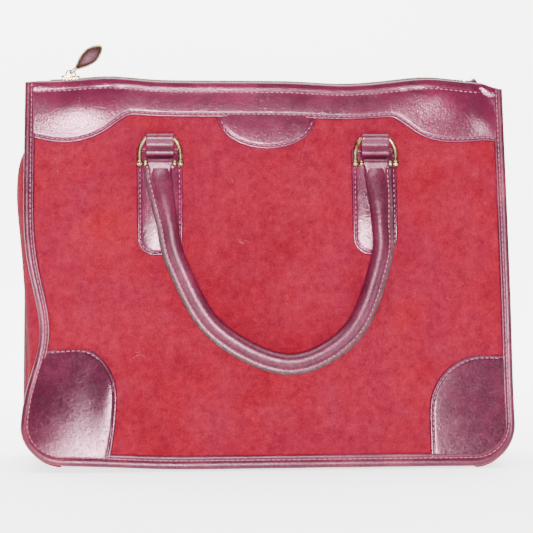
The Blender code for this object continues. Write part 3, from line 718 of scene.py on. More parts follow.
def build_yoke(prefix, turned, body):
    top = SIDE_LENGTH
    widest = half_width(SIDE_LENGTH, BINDING_WIDTH - 1.2 * MM)
    across = steps(-widest, -126 * MM, 12) + steps(-126 * MM, -88 * MM, 34)[1:]
    across += steps(-88 * MM, 88 * MM, 70)[1:] + steps(88 * MM, 126 * MM, 34)[1:]
    across += steps(126 * MM, widest, 12)[1:]
    bottom = [(x, yoke_bottom(x, turned)) for x in across]
    shares = [d / (24 * MM) for d in edge_places(24 * MM, 2.2 * MM)]
    grid = [[(x, low + share * (top - low)) for x, low in bottom] for share in shares]

    def top_fold(x, up):
        below = top - up
        ridge = 0.35 * MM * bell(below, 2.6 * MM, 2.0 * MM) - 0.5 * MM * bell(below, TOP_SEAM, 0.6 * MM)
        left = 2.5 * MM * bell(turned * x, -127 * MM, 24 * MM) * bell(up, up_slope(241 * MM), 13 * MM)
        right = 2.2 * MM * bell(turned * x, 120 * MM, 20 * MM) * bell(up, up_slope(248 * MM), 14 * MM)
        low = 1.3 * MM * bell(turned * x, 151 * MM, 9 * MM) * bell(up, up_slope(233 * MM), 9 * MM)
        across = (turned * x - 143 * MM) * 0.74 + (up - up_slope(258 * MM)) * 0.67
        crease = 1.3 * MM * bell(across, 0.0, 1.3 * MM) * ease((turned * x - 140 * MM) / (4 * MM))
        return ridge + left + right + low - crease

    build_patch(prefix + "yoke_leather", grid, bottom, turned, body, [prefix + "yoke"],
                extra=top_fold, puff=0.7 * MM)
    stitches = patch_stitches(offset_line(bottom, SEAM_INSET), turned, 1.05 * MM, top_fold)
    upper = [(x, top - TOP_SEAM) for x in steps(-widest + 2 * MM, widest - 2 * MM, 90)]
    return stitches + patch_stitches(upper, turned, 2.25 * MM, top_fold)


def build_top_roll(prefix, turned, body):
    """The leather turned over the top edge, down to the zip tape."""
    section = [(2.7, -2.2), (2.9, -0.6), (2.5, 0.6), (1.5, 1.25), (0.3, 1.3), (-0.9, 0.9),
               (-1.6, -0.2), (-1.8, -2.6), (-0.2, -2.6)]
    reach = half_width(SIDE_LENGTH, 2.0 * MM)
    rings = []
    for x in steps(-reach, reach, 110):
        rings.append([sewn(x, out * MM, SIDE_LENGTH + up * MM, turned) for out, up in section])
    add_piece(prefix + "top_roll", *ring_stack(rings), LEATHER, body, "leather", (), 60)


def build_scallop(prefix, turned, body):
    top = up_slope(BAND_BOTTOM) + 1.0 * MM
    depth = top - up_slope(SCALLOP_BOTTOM)
    turns = steps(math.radians(-89), math.radians(89), 44)
    edge = [(SCALLOP_HALF_WIDTH * math.sin(t), top - depth * math.cos(t)) for t in turns]
    shares = [d / (21 * MM) for d in edge_places(21 * MM, 1.8 * MM, False)]
    grid = [[(x * (1 - 0.04 * share), low + share * (top - low)) for x, low in edge]
            for share in shares]
    build_patch(prefix + "scallop_leather", grid, edge, turned, body, [prefix + "scallop"],
                thickness=1.1 * MM, puff=0.6 * MM)
    inner = [p for p in offset_line(edge, SEAM_INSET) if p[1] < top - 3 * MM]
    return patch_stitches(inner, turned, 0.9 * MM)


def corner_edge(left):
    """The sewn edge of a bottom corner patch, from the side down to the bottom, as
    (distance from the middle, up)."""
    if left:
        top, inner, radius, low_x = 80 * MM, 102.5 * MM, 35 * MM, 107 * MM
    else:
        top, inner, radius, low_x = 73 * MM, 107.5 * MM, 38 * MM, 108 * MM
    edge = [(x, top - 1.0 * MM * ((x - inner - radius) / (20 * MM)) ** 2)
            for x in steps(163 * MM, inner + radius, 8)]
    edge += arc((inner + radius, top - radius), radius, 90, 180, 26)[1:]
    edge += [(inner + (low_x - inner) * t * t, (top - radius) * (1 - t) + 2 * MM * t)
             for t in steps(0.0, 1.0, 12)[1:]]
    return edge


def corner_grid(edge, local_side):
    """Rows up the patch, each from the sewn edge to under the binding."""
    inset = BINDING_WIDTH - 1.5 * MM
    top = edge[0][1]
    heights = [inset + 0.3 * MM]
    heights += steps(6 * MM, top - 7 * MM, 26)
    heights += [top - d * MM for d in (5.2, 4.0, 3.2, 2.7, 2.3, 1.9, 1.5, 1.0, 0.6, 0.3, 0.1)]
    xs = np.array([p[0] for p in edge])
    ups = np.array([p[1] for p in edge])
    order = np.argsort(ups)
    grid = []
    for up in heights:
        near = float(np.interp(up, ups[order], xs[order]))
        far = half_width(max(up, inset), inset)
        shares = [d / (50 * MM) for d in edge_places(50 * MM, 2.4 * MM, False)]
        grid.append([(local_side * (near + (far - near) * share), up) for share in shares])
    return grid


def build_corner_patch(prefix, label, turned, body):
    left = label == "left"
    local_side = (-1 if left else 1) * turned
    edge = corner_edge(left)
    grid = corner_grid(edge, local_side)
    outline = [(local_side * x, up) for x, up in edge]

    def swell(x, up):
        return 2.6 * MM * bell(abs(x), 104 * MM, 12 * MM) * bell(up, 47 * MM, 38 * MM)

    # The corner patches take the corner leather, whose darker colour is painted shade.
    build_patch(f"{prefix}corner_{label}_leather", grid, outline, turned, body,
                [f"{prefix}corner_{label}"], puff=0.9 * MM if left else 0.2 * MM,
                extra=swell if left else None, material=SHADED_CORNER_LEATHER)
    seam = SEAM_INSET * (1 if local_side > 0 else -1)
    inner = [p for p in offset_line(outline, seam) if p[1] > 6.5 * MM and abs(p[0]) < 157 * MM]
    return patch_stitches(inner, turned, 1.0 * MM)


def build_binding(prefix, turned, body):
    """The leather strip folded round the ends and the bottom, with its row of stitches."""
    section = [(1.2, -1.0), (-0.3, -1.1), (-1.1, -0.5), (-1.4, 0.6), (-1.3, 2.0), (-0.8, 3.0),
               (0.2, 3.5), (1.4, 3.5), (2.3, 3.1), (2.9, 2.65), (3.4, 2.65), (3.9, 3.0),
               (4.6, 3.25), (5.3, 3.0), (5.75, 2.3), (5.7, 1.4), (3.0, 1.3)]
    outline = []
    for up in steps(SIDE_LENGTH + 0.5 * MM, CORNER_RADIUS, 70)[:-1]:
        outline.append((half_width(up), up, Vector((-1, 0))))
    centre = (HALF_BASE - CORNER_RADIUS, CORNER_RADIUS)
    for turn in steps(0, -90, 20):
        c, s = math.cos(math.radians(turn)), math.sin(math.radians(turn))
        outline.append((centre[0] + CORNER_RADIUS * c, centre[1] + CORNER_RADIUS * s,
                        Vector((-c, -s))))
    outline += [(x, 0.0, Vector((0, 1))) for x in steps(centre[0], 0.0, 50)[1:]]
    full = outline + [(-x, up, Vector((-n.x, n.y))) for x, up, n in outline[-2::-1]]
    rings = []
    thread = []
    for x, up, inward in full:
        wide = 1.0 + 0.22 * ease((CORNER_RADIUS - up) / CORNER_RADIUS)
        rings.append([sewn(x + inward.x * w * wide * MM, out * MM, up + inward.y * w * wide * MM,
                           turned) for w, out in section])
        w = 3.15 * wide * MM
        thread.append(sewn(x + inward.x * w, 2.85 * MM, up + inward.y * w, turned))
    add_piece(prefix + "edge_binding", *ring_stack(rings), BINDING, body, "leather",
              [prefix + "binding"], 60)
    return stitch_row(thread, side_normal(turned))


def build_tab(prefix, label, x_middle, turned, body):
    low = up_slope(TAB_BOTTOM)
    top = up_slope(TAB_TOP)
    half = TAB_WIDTH / 2
    edge = [(half, up) for up in steps(top, low + TAB_CORNER, 20)]
    edge += arc((half - TAB_CORNER, low + TAB_CORNER), TAB_CORNER, 0, -90, 12)[1:]
    edge += [(-x, up) for x, up in edge[::-1]]
    top_edge = [(-half, top), (half, top)]
    heights = [low + d * MM for d in (0.05, 0.25, 0.6, 1.0, 1.5, 1.9, 2.3, 2.7, 3.2, 4.0, 5.2, 7.0,
                                      9.0, 12.0)]
    heights += steps(low + TAB_CORNER, top - 5 * MM, 20)[1:]
    heights += [top - d * MM for d in (4.0, 3.2, 2.7, 2.3, 1.9, 1.5, 1.0, 0.6, 0.25, 0.0)]
    grid = []
    for up in heights:
        reach = TAB_CORNER - min(up - low, TAB_CORNER)
        wide = half - TAB_CORNER + math.sqrt(max(TAB_CORNER ** 2 - reach ** 2, 0.0))
        shares = [d / (2 * half) for d in edge_places(2 * half, 1.8 * MM)]
        grid.append([(x_middle - wide + 2 * wide * share, up) for share in shares])
    outline = [(x_middle + x, up) for x, up in edge + top_edge]

    def rounding(x, up):
        across = (x - x_middle) / half
        return 1.2 * MM * (1 - across ** 2) + 1.7 * MM * (ease((up - low) / (28 * MM)) - 1)

    build_patch(f"{prefix}tab_{label}_leather", grid, outline, turned, body,
                [f"{prefix}tab_{label}"], thickness=1.4 * MM, puff=0.7 * MM, extra=rounding)
    line = offset_line([(x_middle + x, up) for x, up in edge], -SEAM_INSET)
    return patch_stitches(line, turned, 1.2 * MM)


def strap_places(half, inner, count):
    """Places across a strap, close together at its rounded edges."""
    edge = [-half + d * MM for d in (0.0, 0.25, 0.8, 1.6)]
    return edge + steps(inner - half, half - inner, count) + [-x for x in edge[::-1]]


def build_chape(prefix, label, x_middle, turned, body):
    """The strip folded over the ring's bar, its two layers stitched together below it."""
    bar = (RING_OUT, up_slope(RING_BAR_HEIGHT))
    inner_radius = WIRE_RADIUS + 0.25 * MM
    thick = 1.5 * MM
    foot_up = up_slope(200.5 * MM)
    surface = PANEL_OUT + 1.4 * MM + relief(x_middle, up_slope(206 * MM), turned)
    front = [(surface + 1.6 * MM, foot_up), (surface + 2.0 * MM, foot_up + 3 * MM),
             (surface + 3.2 * MM, bar[1] - 13.4 * MM), (bar[0] + 0.2 * MM, bar[1] - 12.3 * MM),
             (bar[0] + 1.6 * MM, bar[1] - 11.2 * MM), (bar[0] + 2.1 * MM, bar[1] - 10.0 * MM),
             (bar[0] + 1.9 * MM, bar[1] - 8.7 * MM), (bar[0] + 1.4 * MM, bar[1] - 7.0 * MM),
             (bar[0] + 1.0 * MM, bar[1] - 5.2 * MM), (bar[0] + 1.2 * MM, bar[1] - 3.8 * MM)]
    over = arc(bar, inner_radius + thick, -38, 188, 18)
    back = [(bar[0] - inner_radius - thick, bar[1] - 3 * MM), (surface + 0.9 * MM, foot_up + 9 * MM),
            (surface - 0.2 * MM, foot_up + 5 * MM), (surface - 0.2 * MM, foot_up)]
    outline = front + over + back
    half = 9.4 * MM
    middle = Vector((sum(p[0] for p in outline), sum(p[1] for p in outline))) / len(outline)
    rings = []
    for x in strap_places(half, 3 * MM, 8):
        shrink = 0.7 * MM * (1 - round_over((half - abs(x)) / (0.8 * MM)))
        ring = []
        for out, up in outline:
            towards = (middle - Vector((out, up))).normalized() * shrink
            ring.append(to_world(x_middle + x, out + towards.x, up + towards.y, turned))
        rings.append(ring)
    add_piece(f"{prefix}chape_{label}_leather", *ring_stack(rings), SHADED_HANDLE_LEATHER, body, "leather",
              [f"{prefix}chape_{label}"], 60)


# ---------------------------------------------------------------- rings and handles

def build_ring(prefix, label, x_middle, turned, body):
    """Horseshoe ring: straight bar, rounded shoulders, legs that spread a little, ball ends."""
    bar_up = up_slope(RING_BAR_HEIGHT)
    pin_up = up_slope(RING_PIN_HEIGHT)
    half = RING_HALF_WIDTH
    leg = [(half + 0.2 * MM, pin_up + 1.5 * MM), (half + 0.3 * MM, pin_up + 6 * MM),
           (half - 0.2 * MM, pin_up + 10 * MM), (half - 1.5 * MM, bar_up - 3.4 * MM),
           (half - 3.6 * MM, bar_up - 0.7 * MM), (half - 6 * MM, bar_up)]
    line = leg + [(0.0, bar_up)] + [(-x, up) for x, up in leg[::-1]]
    curve = smooth_line(line, 6)
    path = [to_world(x_middle + p[0], RING_OUT, p[1], turned) for p in curve]
    normal = side_normal(turned)
    parts = [sweep_mesh(path, circle(WIRE_RADIUS, 14), normal)]
    for side in (-1, 1):
        centre = to_world(x_middle + side * (half + 0.2 * MM), RING_OUT, pin_up, turned)
        ball = [(BALL_RADIUS * math.cos(t), max(BALL_RADIUS * math.sin(t), 0.02 * MM))
                for t in steps(0.02, math.pi - 0.02, 12)]
        parts.append(turned_mesh(ball, 16, lambda along, a, b, c=centre: (
            c + side_up(turned) * along + Vector((a, 0, 0)) + normal * b)))
    add_piece(f"{prefix}ring_{label}_brass", *join_meshes(parts), BRASS, body, "brass",
              [f"{prefix}ring_{label}"], 50)


def build_pin(prefix, label, x_middle, turned, body):
    end = RING_HALF_WIDTH - 2.4 * MM
    half = [(end, 1.0 * MM), (end - 0.2 * MM, 1.7 * MM), (end - 0.7 * MM, 2.15 * MM),
            (end - 1.5 * MM, 2.25 * MM), (end - 2.2 * MM, 2.0 * MM), (end - 2.6 * MM, 1.3 * MM)]
    profile = half + [(-x, r) for x, r in half[::-1]]
    centre = to_world(x_middle, RING_OUT, up_slope(RING_PIN_HEIGHT), turned)
    mesh = turned_mesh(profile, 18, lambda along, a, b: (
        centre + Vector((along, 0, 0)) + side_up(turned) * a + side_normal(turned) * b))
    add_piece(f"{prefix}pin_{label}_brass", *mesh, BRASS, body, "brass",
              [f"{prefix}ring_pin_{label}"], 50)


def handle_points():
    """The handle's centre line as (x, out, up)."""
    pin_up = up_slope(RING_PIN_HEIGHT)
    line = smooth_line(HANDLE_LINE, 12)
    line = [Vector((line[0].x, 199 * MM))] + line + [Vector((line[-1].x, 199 * MM))]
    points = []
    for x, height in line:
        up = up_slope(height)
        near_pin = ease((up - pin_up + HANDLE_STEP_OUT) / (HANDLE_STEP_OUT - 6 * MM))
        points.append((x, HANDLE_OUT + (RING_OUT - HANDLE_OUT) * near_pin, up))
    return points


def seam_reach(flare):
    """How far the handle's stitched seam stands out from its centre line."""
    return (5.25 + 3.45 * flare) * MM


def handle_section(flare):
    """Rolled tube with a stitched seam on its outer side, as (outwards, to the front)."""
    wide = HANDLE_RADIUS * (1 + 0.40 * flare)
    deep = HANDLE_RADIUS * (1 - 0.38 * flare)
    shift = -1.25 * MM * (1 - flare)
    end = seam_reach(flare)
    tube = [(shift + wide * math.cos(t), deep * math.sin(t))
            for t in steps(math.radians(36), math.radians(324), 26)]
    seam = [(end - 1.5 * MM, -2.0 * MM), (end - 0.9 * MM, -1.7 * MM), (end - 0.3 * MM, -1.6 * MM),
            (end + 0.6 * MM, -1.45 * MM)]
    return tube + seam + [(a, -b) for a, b in seam[::-1]]


def edge_section(flare):
    """The painted edge of the handle's seam."""
    end = seam_reach(flare) + 0.5 * MM
    half = [(0.0, 1.4), (1.2 - 0.5 * flare, 1.4), (1.8 - 0.7 * flare, 0.95), (2.0 - 0.8 * flare, 0.0)]
    points = half + [(a, -b) for a, b in half[-2::-1]]
    return [(end + a * MM, b * MM) for a, b in points]


def build_handle(prefix, turned, body):
    centre = handle_points()
    path = [to_world(*p, turned) for p in centre]
    normal = side_normal(turned)
    top = centre[0][2]
    flares = [ease(1 - (top - p[2]) / (42 * MM)) for p in centre]
    mesh = sweep_mesh(path, [handle_section(flare) for flare in flares], normal)
    add_piece(prefix + "handle_leather", *mesh, SHADED_HANDLE_LEATHER, body, "leather",
              [prefix + "handle_grip", prefix + "handle_core"], 50)
    mesh = sweep_mesh(path, [edge_section(flare) for flare in flares], normal)
    add_piece(prefix + "handle_edge", *mesh, EDGE, body, "leather", (), 50)
    stitches = []
    for side in (-1, 1):
        line = []
        for i, point in enumerate(path):
            ahead = path[min(i + 1, len(path) - 1)]
            behind = path[max(i - 1, 0)]
            across = (ahead - behind).normalized().cross(normal).normalized()
            line.append(point + across * (seam_reach(flares[i]) - 0.7 * MM)
                        + normal * side * 1.72 * MM)
        stitches += stitch_row(line, normal * side)
    add_piece(prefix + "handle_stitching", *join_meshes(stitches), THREAD, body, "leather", (), 60)
    for label, world_side in (("left", -1), ("right", 1)):
        build_loop(prefix, label, world_side * turned * TAB_X, turned, body)


def build_loop(prefix, label, x_middle, turned, body):
    """The end of the handle, folded round the ring's pin."""
    pin = (RING_OUT, up_slope(RING_PIN_HEIGHT))
    tip = up_slope(HANDLE_START)
    radius = 3.3 * MM
    outline = arc(pin, radius, -20, 200, 18)
    outline += [(pin[0] - 2.4 * MM, tip + 3 * MM), (pin[0] - 2.0 * MM, tip + 0.5 * MM),
                (pin[0] + 2.0 * MM, tip + 0.5 * MM), (pin[0] + 2.4 * MM, tip + 3 * MM)]
    half = 8.6 * MM
    rings = []
    for x in strap_places(half, 2.6 * MM, 6):
        shrink = 0.16 * (1 - round_over((half - abs(x)) / (1.2 * MM)))
        ring = []
        for out, up in outline:
            narrow = 1 - 0.22 * ease((pin[1] - up) / (6 * MM))
            ring.append(to_world(x_middle + x * narrow, out + (pin[0] - out) * shrink,
                              up + (pin[1] - up) * shrink, turned))
        rings.append(ring)
    add_piece(f"{prefix}loop_{label}_leather", *ring_stack(rings), SHADED_HANDLE_LEATHER, body, "leather",
              [f"{prefix}handle_loop_{label}"], 60)


def build_side(prefix, turned):
    body = prefix + "side"
    build_panel(prefix, turned, body)
    build_lining(prefix, turned, body)
    stitches = build_yoke(prefix, turned, body)
    build_top_roll(prefix, turned, body)
    stitches += build_scallop(prefix, turned, body)
    stitches += build_binding(prefix, turned, body)
    for label, world_side in (("left", -1), ("right", 1)):
        x_middle = world_side * turned * TAB_X
        stitches += build_corner_patch(prefix, label, turned, body)
        stitches += build_tab(prefix, label, x_middle, turned, body)
        build_chape(prefix, label, x_middle, turned, body)
        ring_body = f"{prefix}{label}_ring"
        build_ring(prefix, label, x_middle, turned, ring_body)
        build_pin(prefix, label, x_middle, turned, ring_body)
    add_piece(prefix + "stitching", *join_meshes(stitches), THREAD, body, "leather", (), 60)
    build_handle(prefix, turned, prefix + "handle")


# ---------------------------------------------------------------- gussets and base

def gusset_point(side, share, height, out=0.0):
    """A point on a gusset. share runs from -1 at the front seam to 1 at the back one."""
    turned = 1 if share < 0 else -1
    local_x = side * turned
    strength = 1.0 if side < 0 else 0.4
    if height < CORNER_RADIUS:
        reach = math.sqrt(max(CORNER_RADIUS ** 2 - (CORNER_RADIUS - height) ** 2, 0.0))
        x_edge = HALF_BASE - CORNER_RADIUS + reach
    else:
        x_edge = half_width(up_slope(height))
    low_part = -3.0 * bell(height, 62 * MM, 34 * MM)
    high_part = 6.5 * bell(height, 186 * MM, 46 * MM)
    swell = strength * (low_part + high_part) * MM
    fold = 25 * MM * ease((height - 196 * MM) / (56 * MM)) ** 1.4
    rounded = 1 - abs(share) ** 2.2
    x = x_edge - 0.3 * MM + swell * rounded - fold * (1 - abs(share)) ** 0.85
    seam = (local_x * half_width(up_slope(height)), up_slope(height), turned)
    x -= dent(*seam) * abs(share) ** 3
    wrinkle = noise.noise(Vector((share * 1.6, height * 26, 5.0 + side)))
    x += 0.9 * MM * wrinkle * (1 - abs(share) ** 4) * ease(height / (50 * MM))
    depth = seam_depth(height) - 0.9 * MM - set_back(*seam) * abs(share) ** 3
    rise = wave(side * x_edge, height) * abs(share) + lift(side * x_edge, height)
    return Vector((side * (x + out), share * depth, height + rise))


def gusset_blend(half):
    """The base, the side, and the start and end of a line leaning 3.3 degrees up and out from the
    gusset's top;
    add_piece does not use them and only bakes the piece where it stands."""
    tilt = math.radians(3.3)
    reach = 7.9 * MM
    start = (0, half * 0.3 * MM, GUSSET_TOP)
    end = (0, half * (0.3 * MM + reach * math.cos(tilt)), GUSSET_TOP + reach * math.sin(tilt))
    return ("bag_base", "front_side" if half < 0 else "back_side", start, end)


def shell_under(outer, thickness, side):
    """The inner grid of a sheet, found along its normals."""
    rows = len(outer)
    columns = len(outer[0])
    inner = []
    for i in range(rows):
        line = []
        for j in range(columns):
            along = outer[min(i + 1, rows - 1)][j] - outer[max(i - 1, 0)][j]
            across = outer[i][min(j + 1, columns - 1)] - outer[i][max(j - 1, 0)]
            normal = along.cross(across).normalized()
            if normal.x * side < 0:
                normal = -normal
            line.append(outer[i][j] - normal * thickness)
        inner.append(line)
    return inner


# The gusset's top strip in mm, as (down from the top, out of the suede).
STRIP_PROFILE = [(13.0, 0.3), (12.6, 0.9), (12.0, 1.1), (9.0, 1.3), (5.0, 1.35), (2.0, 1.3),
                 (0.8, 1.2), (0.2, 0.9), (0.0, 0.5)]


def build_gusset(label, side):
    heights = [CORNER_RADIUS * (1 - math.cos(t)) for t in steps(0.05, math.pi / 2, 14)]
    heights += steps(CORNER_RADIUS, GUSSET_TOP, 64)[1:]
    for half, half_name in ((-1, "front"), (1, "back")):
        shares = [half * max(s, 1e-6) for s in steps(0.0, 1.0, 22)]
        outer = [[gusset_point(side, s, z) for s in shares] for z in heights]
        inner = shell_under(outer, 1.2 * MM, side)
        replaces = [label + "_gusset"] if half < 0 else ()
        add_piece(f"{label}_gusset_{half_name}", *sheet_mesh(outer, inner), SUEDE,
                  gusset_blend(half), "suede", replaces, 60)
        strip = [[gusset_point(side, s, GUSSET_TOP - (down - 0.4) * MM) for s in shares]
                 for down, _ in STRIP_PROFILE]
        under = shell_under(strip, -0.25 * MM, side)
        cover = [shell_under(strip, -out * MM, side)[i] for i, (_, out) in enumerate(STRIP_PROFILE)]
        replaces = [label + "_gusset_trim"] if half < 0 else ()
        add_piece(f"{label}_gusset_strip_{half_name}", *sheet_mesh(cover, under), LEATHER,
                  gusset_blend(half), "leather", replaces, 60)


def build_base():
    """The suede bottom, with soft edges where it meets the sides."""
    half_x = HALF_BASE - CORNER_RADIUS + 0.5 * MM
    half_y = HALF_DEPTH - 0.6 * MM
    outer = []
    inner = []
    for x in steps(-half_x, half_x, 70):
        across = steps(-half_y, half_y, 24)
        low = []
        high = []
        for y in across:
            turn_up = 2.6 * MM * ease((abs(y) - half_y + 5 * MM) / (5 * MM)) ** 1.5
            ripple = 0.25 * MM * (1 + noise.noise(Vector((x * 30, y * 30, 1.7))))
            turn_up += lift(x, 0.0)
            low.append(Vector((x, y, turn_up + ripple * (1 if abs(y) > 30 * MM else 0.4))))
            high.append(Vector((x, y, turn_up + ripple + 1.5 * MM)))
        outer.append(low)
        inner.append(high)
    add_piece("base_suede", *sheet_mesh(outer, inner), SUEDE, "bag_base", "suede",
              ["base_panel"], 60)


def build_floor_sheet(name, node, material, slot):
    """The stiffener board or its lining, bent with the bottom of the bag."""
    low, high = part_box(node)
    grids = [[[Vector((x, y, z + lift(x, 0.0))) for y in steps(low[1], high[1], 8)]
              for x in steps(low[0], high[0], 60)] for z in (low[2], high[2])]
    add_piece(name, *sheet_mesh(*grids), material, "bag_base", slot, [node])


# ---------------------------------------------------------------- zip

def zip_blend(side_body):
    """The base, the side, and the start and end of a line along x from 128 mm to 88 mm;
    add_piece does not use them and only bakes the piece where it stands.
    """
    return ("bag_base", side_body, (128 * MM, 0, 0), (88 * MM, 0, 0))


def zip_point(x, y, z, half):
    """A point of the zip, y being measured outwards from the middle."""
    return Vector((x, half * y, z + wave(x, ZIP_HEIGHT)))


def build_zip(prefix, half):
    body = prefix + "side"
    bend = seam_depth(ZIP_HEIGHT) - 1.2 * MM
    leg = ZIP_HEIGHT - 16 * MM
    profile = [(seam_depth(leg) - 1.9 * MM, leg), (seam_depth(leg + 9 * MM) - 1.9 * MM, leg + 9 * MM),
               (bend, ZIP_HEIGHT - 2.6 * MM), (bend - 0.5 * MM, ZIP_HEIGHT - 0.9 * MM),
               (bend - 1.6 * MM, ZIP_HEIGHT - 0.1 * MM), (3.6 * MM, ZIP_HEIGHT + 0.1 * MM),
               (2.2 * MM, ZIP_HEIGHT)]
    outer = []
    inner = []
    for x in steps(ZIP_LEFT - 9 * MM, ZIP_RIGHT + 1 * MM, 100):
        ripple = 0.15 * MM * noise.noise(Vector((x * 60, 0.3, half)))
        outer.append([zip_point(x, y, z + 0.4 * MM + ripple, half) for y, z in profile])
        inner.append([zip_point(x, y - 0.5 * MM * (k < 3), z - 0.3 * MM + ripple, half)
                      for k, (y, z) in enumerate(profile)])
    add_piece(prefix + "tape_cloth", *sheet_mesh(outer, inner), TAPE, zip_blend(body), "tape",
              [prefix + "zip_tape"], 60)
    count = int((ZIP_RIGHT - 4 * MM - ZIP_LEFT) / TOOTH_PITCH)
    first = ZIP_LEFT + 1 * MM + (0.5 * TOOTH_PITCH if half > 0 else 0.0)
    teeth = [tooth_mesh(first + i * TOOTH_PITCH, half) for i in range(count)]
    add_piece(prefix + "teeth_brass", *join_meshes(teeth), DARK_BRASS, zip_blend(body), "brass",
              [prefix + "zip_teeth"], 40)
    stop = block_mesh(ZIP_RIGHT - 1.6 * MM, 1.7 * MM, 3.2 * MM, 2.4 * MM, 2.9 * MM, half)
    add_piece(prefix + "stop_brass", *stop, BRASS, zip_blend(body), "brass",
              [prefix + "zip_stop"], 40)


def build_zip_end():
    """The scrap of leather folded over the closed end of the zip."""
    stations = [(139.6, 3.4, -0.6, 0.8), (140.6, 4.2, -1.2, 1.5), (142.4, 4.5, -1.4, 1.9),
                (144.0, 4.4, -1.8, 3.5), (145.4, 3.9, -2.4, 3.0), (147.8, 2.8, -3.4, 0.0)]
    rings = []
    for x, wide, low, high in stations:
        middle = 0.5 * (low + high)
        tall = 0.5 * (high - low)
        ring = []
        for t in steps(0, 2 * math.pi, 14)[:-1]:
            ring.append(zip_point(x * MM, wide * MM * math.cos(t),
                                  ZIP_HEIGHT + (middle + tall * math.sin(t)) * MM, 1))
        rings.append(ring)
    add_piece("zip_end", *ring_stack(rings), LEATHER, "bag_base", "leather", (), 60)


def cut_box(w, h, c):
    """A rectangle 2 w by 2 h with its corners cut off by c."""
    return [(-w, -h + c), (-w + c, -h), (w - c, -h), (w, -h + c), (w, h - c), (w - c, h),
            (-w + c, h), (-w, h - c)]


def block_mesh(x, y, length, width, height, half):
    """A small block with bevelled edges, centred on the zip's height."""
    cut = 0.25
    rings = []
    for dx, shrink in ((-0.5, cut), (-0.5 + cut * 0.4, 0.0), (0.5 - cut * 0.4, 0.0), (0.5, cut)):
        w = width * (0.5 - 0.25 * shrink)
        h = height * (0.5 - 0.25 * shrink)
        rings.append([zip_point(x + dx * length, y + a, ZIP_HEIGHT + b, half)
                      for a, b in cut_box(w, h, 0.28 * min(w, h))])
    return ring_stack(rings)


def tooth_mesh(x, half):
    return block_mesh(x, 1.55 * MM, 1.35 * MM, 3.3 * MM, 2.7 * MM, half)


def slider_half_width(x):
    """Plan of the slider: broad shoulders at the front, narrow at the back."""
    return (4.3 - 0.9 * ease((x + 1.5) / 6.0) - 1.1 * ease((abs(x) - 4.6) / 1.6)) * MM


def build_slider():
    low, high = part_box("zip_slider")
    middle_x = 0.5 * (low[0] + high[0])
    length = 12.6
    parts = []
    for bottom, top in ((low[2], low[2] + 1.2 * MM), (high[2] - 1.2 * MM, high[2])):
        rings = []
        for x in steps(-length / 2, length / 2, 16):
            end = ease((length / 2 - abs(x)) / 0.8)
            t = (top - bottom) * (0.35 + 0.15 * end)
            middle = 0.5 * (top + bottom)
            rings.append([Vector((middle_x + x * MM, a, middle + b))
                          for a, b in cut_box(slider_half_width(x), t, 0.35 * t)])
        parts.append(ring_stack(rings))
    plan = [(a * MM, b * MM) for a, b in ((-5, -0.28), (5, -0.28), (5, 0.28), (-5, 0.28))]
    parts.append(ring_stack([[Vector((middle_x + x, y, z)) for x, y in plan]
                             for z in (low[2] + 0.8 * MM, high[2] - 0.8 * MM)]))
    add_piece("slider_brass", *join_meshes(parts), BRASS, "slider", "brass", ["zip_slider"], 40)
    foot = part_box("zip_bridge")[0][2] - 0.5 * MM
    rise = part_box("zip_bridge")[1][2] - 0.45 * MM - foot
    arch = [(-3.2, 0.0), (-3.1, 0.45), (-2.3, 0.85), (-0.8, 1.0)]
    arch += [(-along, height) for along, height in arch[::-1]]
    path = [Vector((middle_x + p[0] * MM, 0, foot + p[1] * rise)) for p in smooth_line(arch, 4)]
    section = [(0.45 * a, 0.85 * b) for a, b in circle(MM, 12)]
    add_piece("bridge_brass", *sweep_mesh(path, section, Vector((0, 1, 0))), BRASS, "slider",
              "brass", ["zip_bridge"], 50)


def pull_frame():
    """The link's and the pull's eyes and the direction they lean in."""
    joints = {j["name"]: Vector(j["pos_m"]) for j in BEHAVIOUR["joints"] if "pos_m" in j}
    eye = joints["link_swing"]
    pull_eye = joints["pull_swing"]
    return eye, pull_eye, (pull_eye - eye).normalized()


def build_link():
    eye, pull_eye, lean = pull_frame()
    length = (pull_eye - eye).length
    half = 1.95 * MM
    corner = 1.0 * MM
    line = []
    for cy, cz, first in ((half - corner, length - corner, 0), (-half + corner, length - corner, 90),
                          (-half + corner, corner, 180), (half - corner, corner, 270)):
        line += arc((cy, cz), corner, first, first + 90, 5)
    path = [eye + Vector((0, y, 0)) + lean * z for y, z in line]
    normal = lean.cross(Vector((0, 1, 0))).normalized()
    wire = [(0.62 * a, 1.05 * b) for a, b in circle(MM, 12)]
    mesh = sweep_mesh(path, wire, normal, closed=True)
    add_piece("link_brass", *mesh, BRASS, "link", "brass", ["zip_pull_link"], 60)


def leaf_half(share):
    """Half the pull's width along its length, in millimetres."""
    return 5.3 * math.sin(math.pi * share ** 1.3) ** 0.62


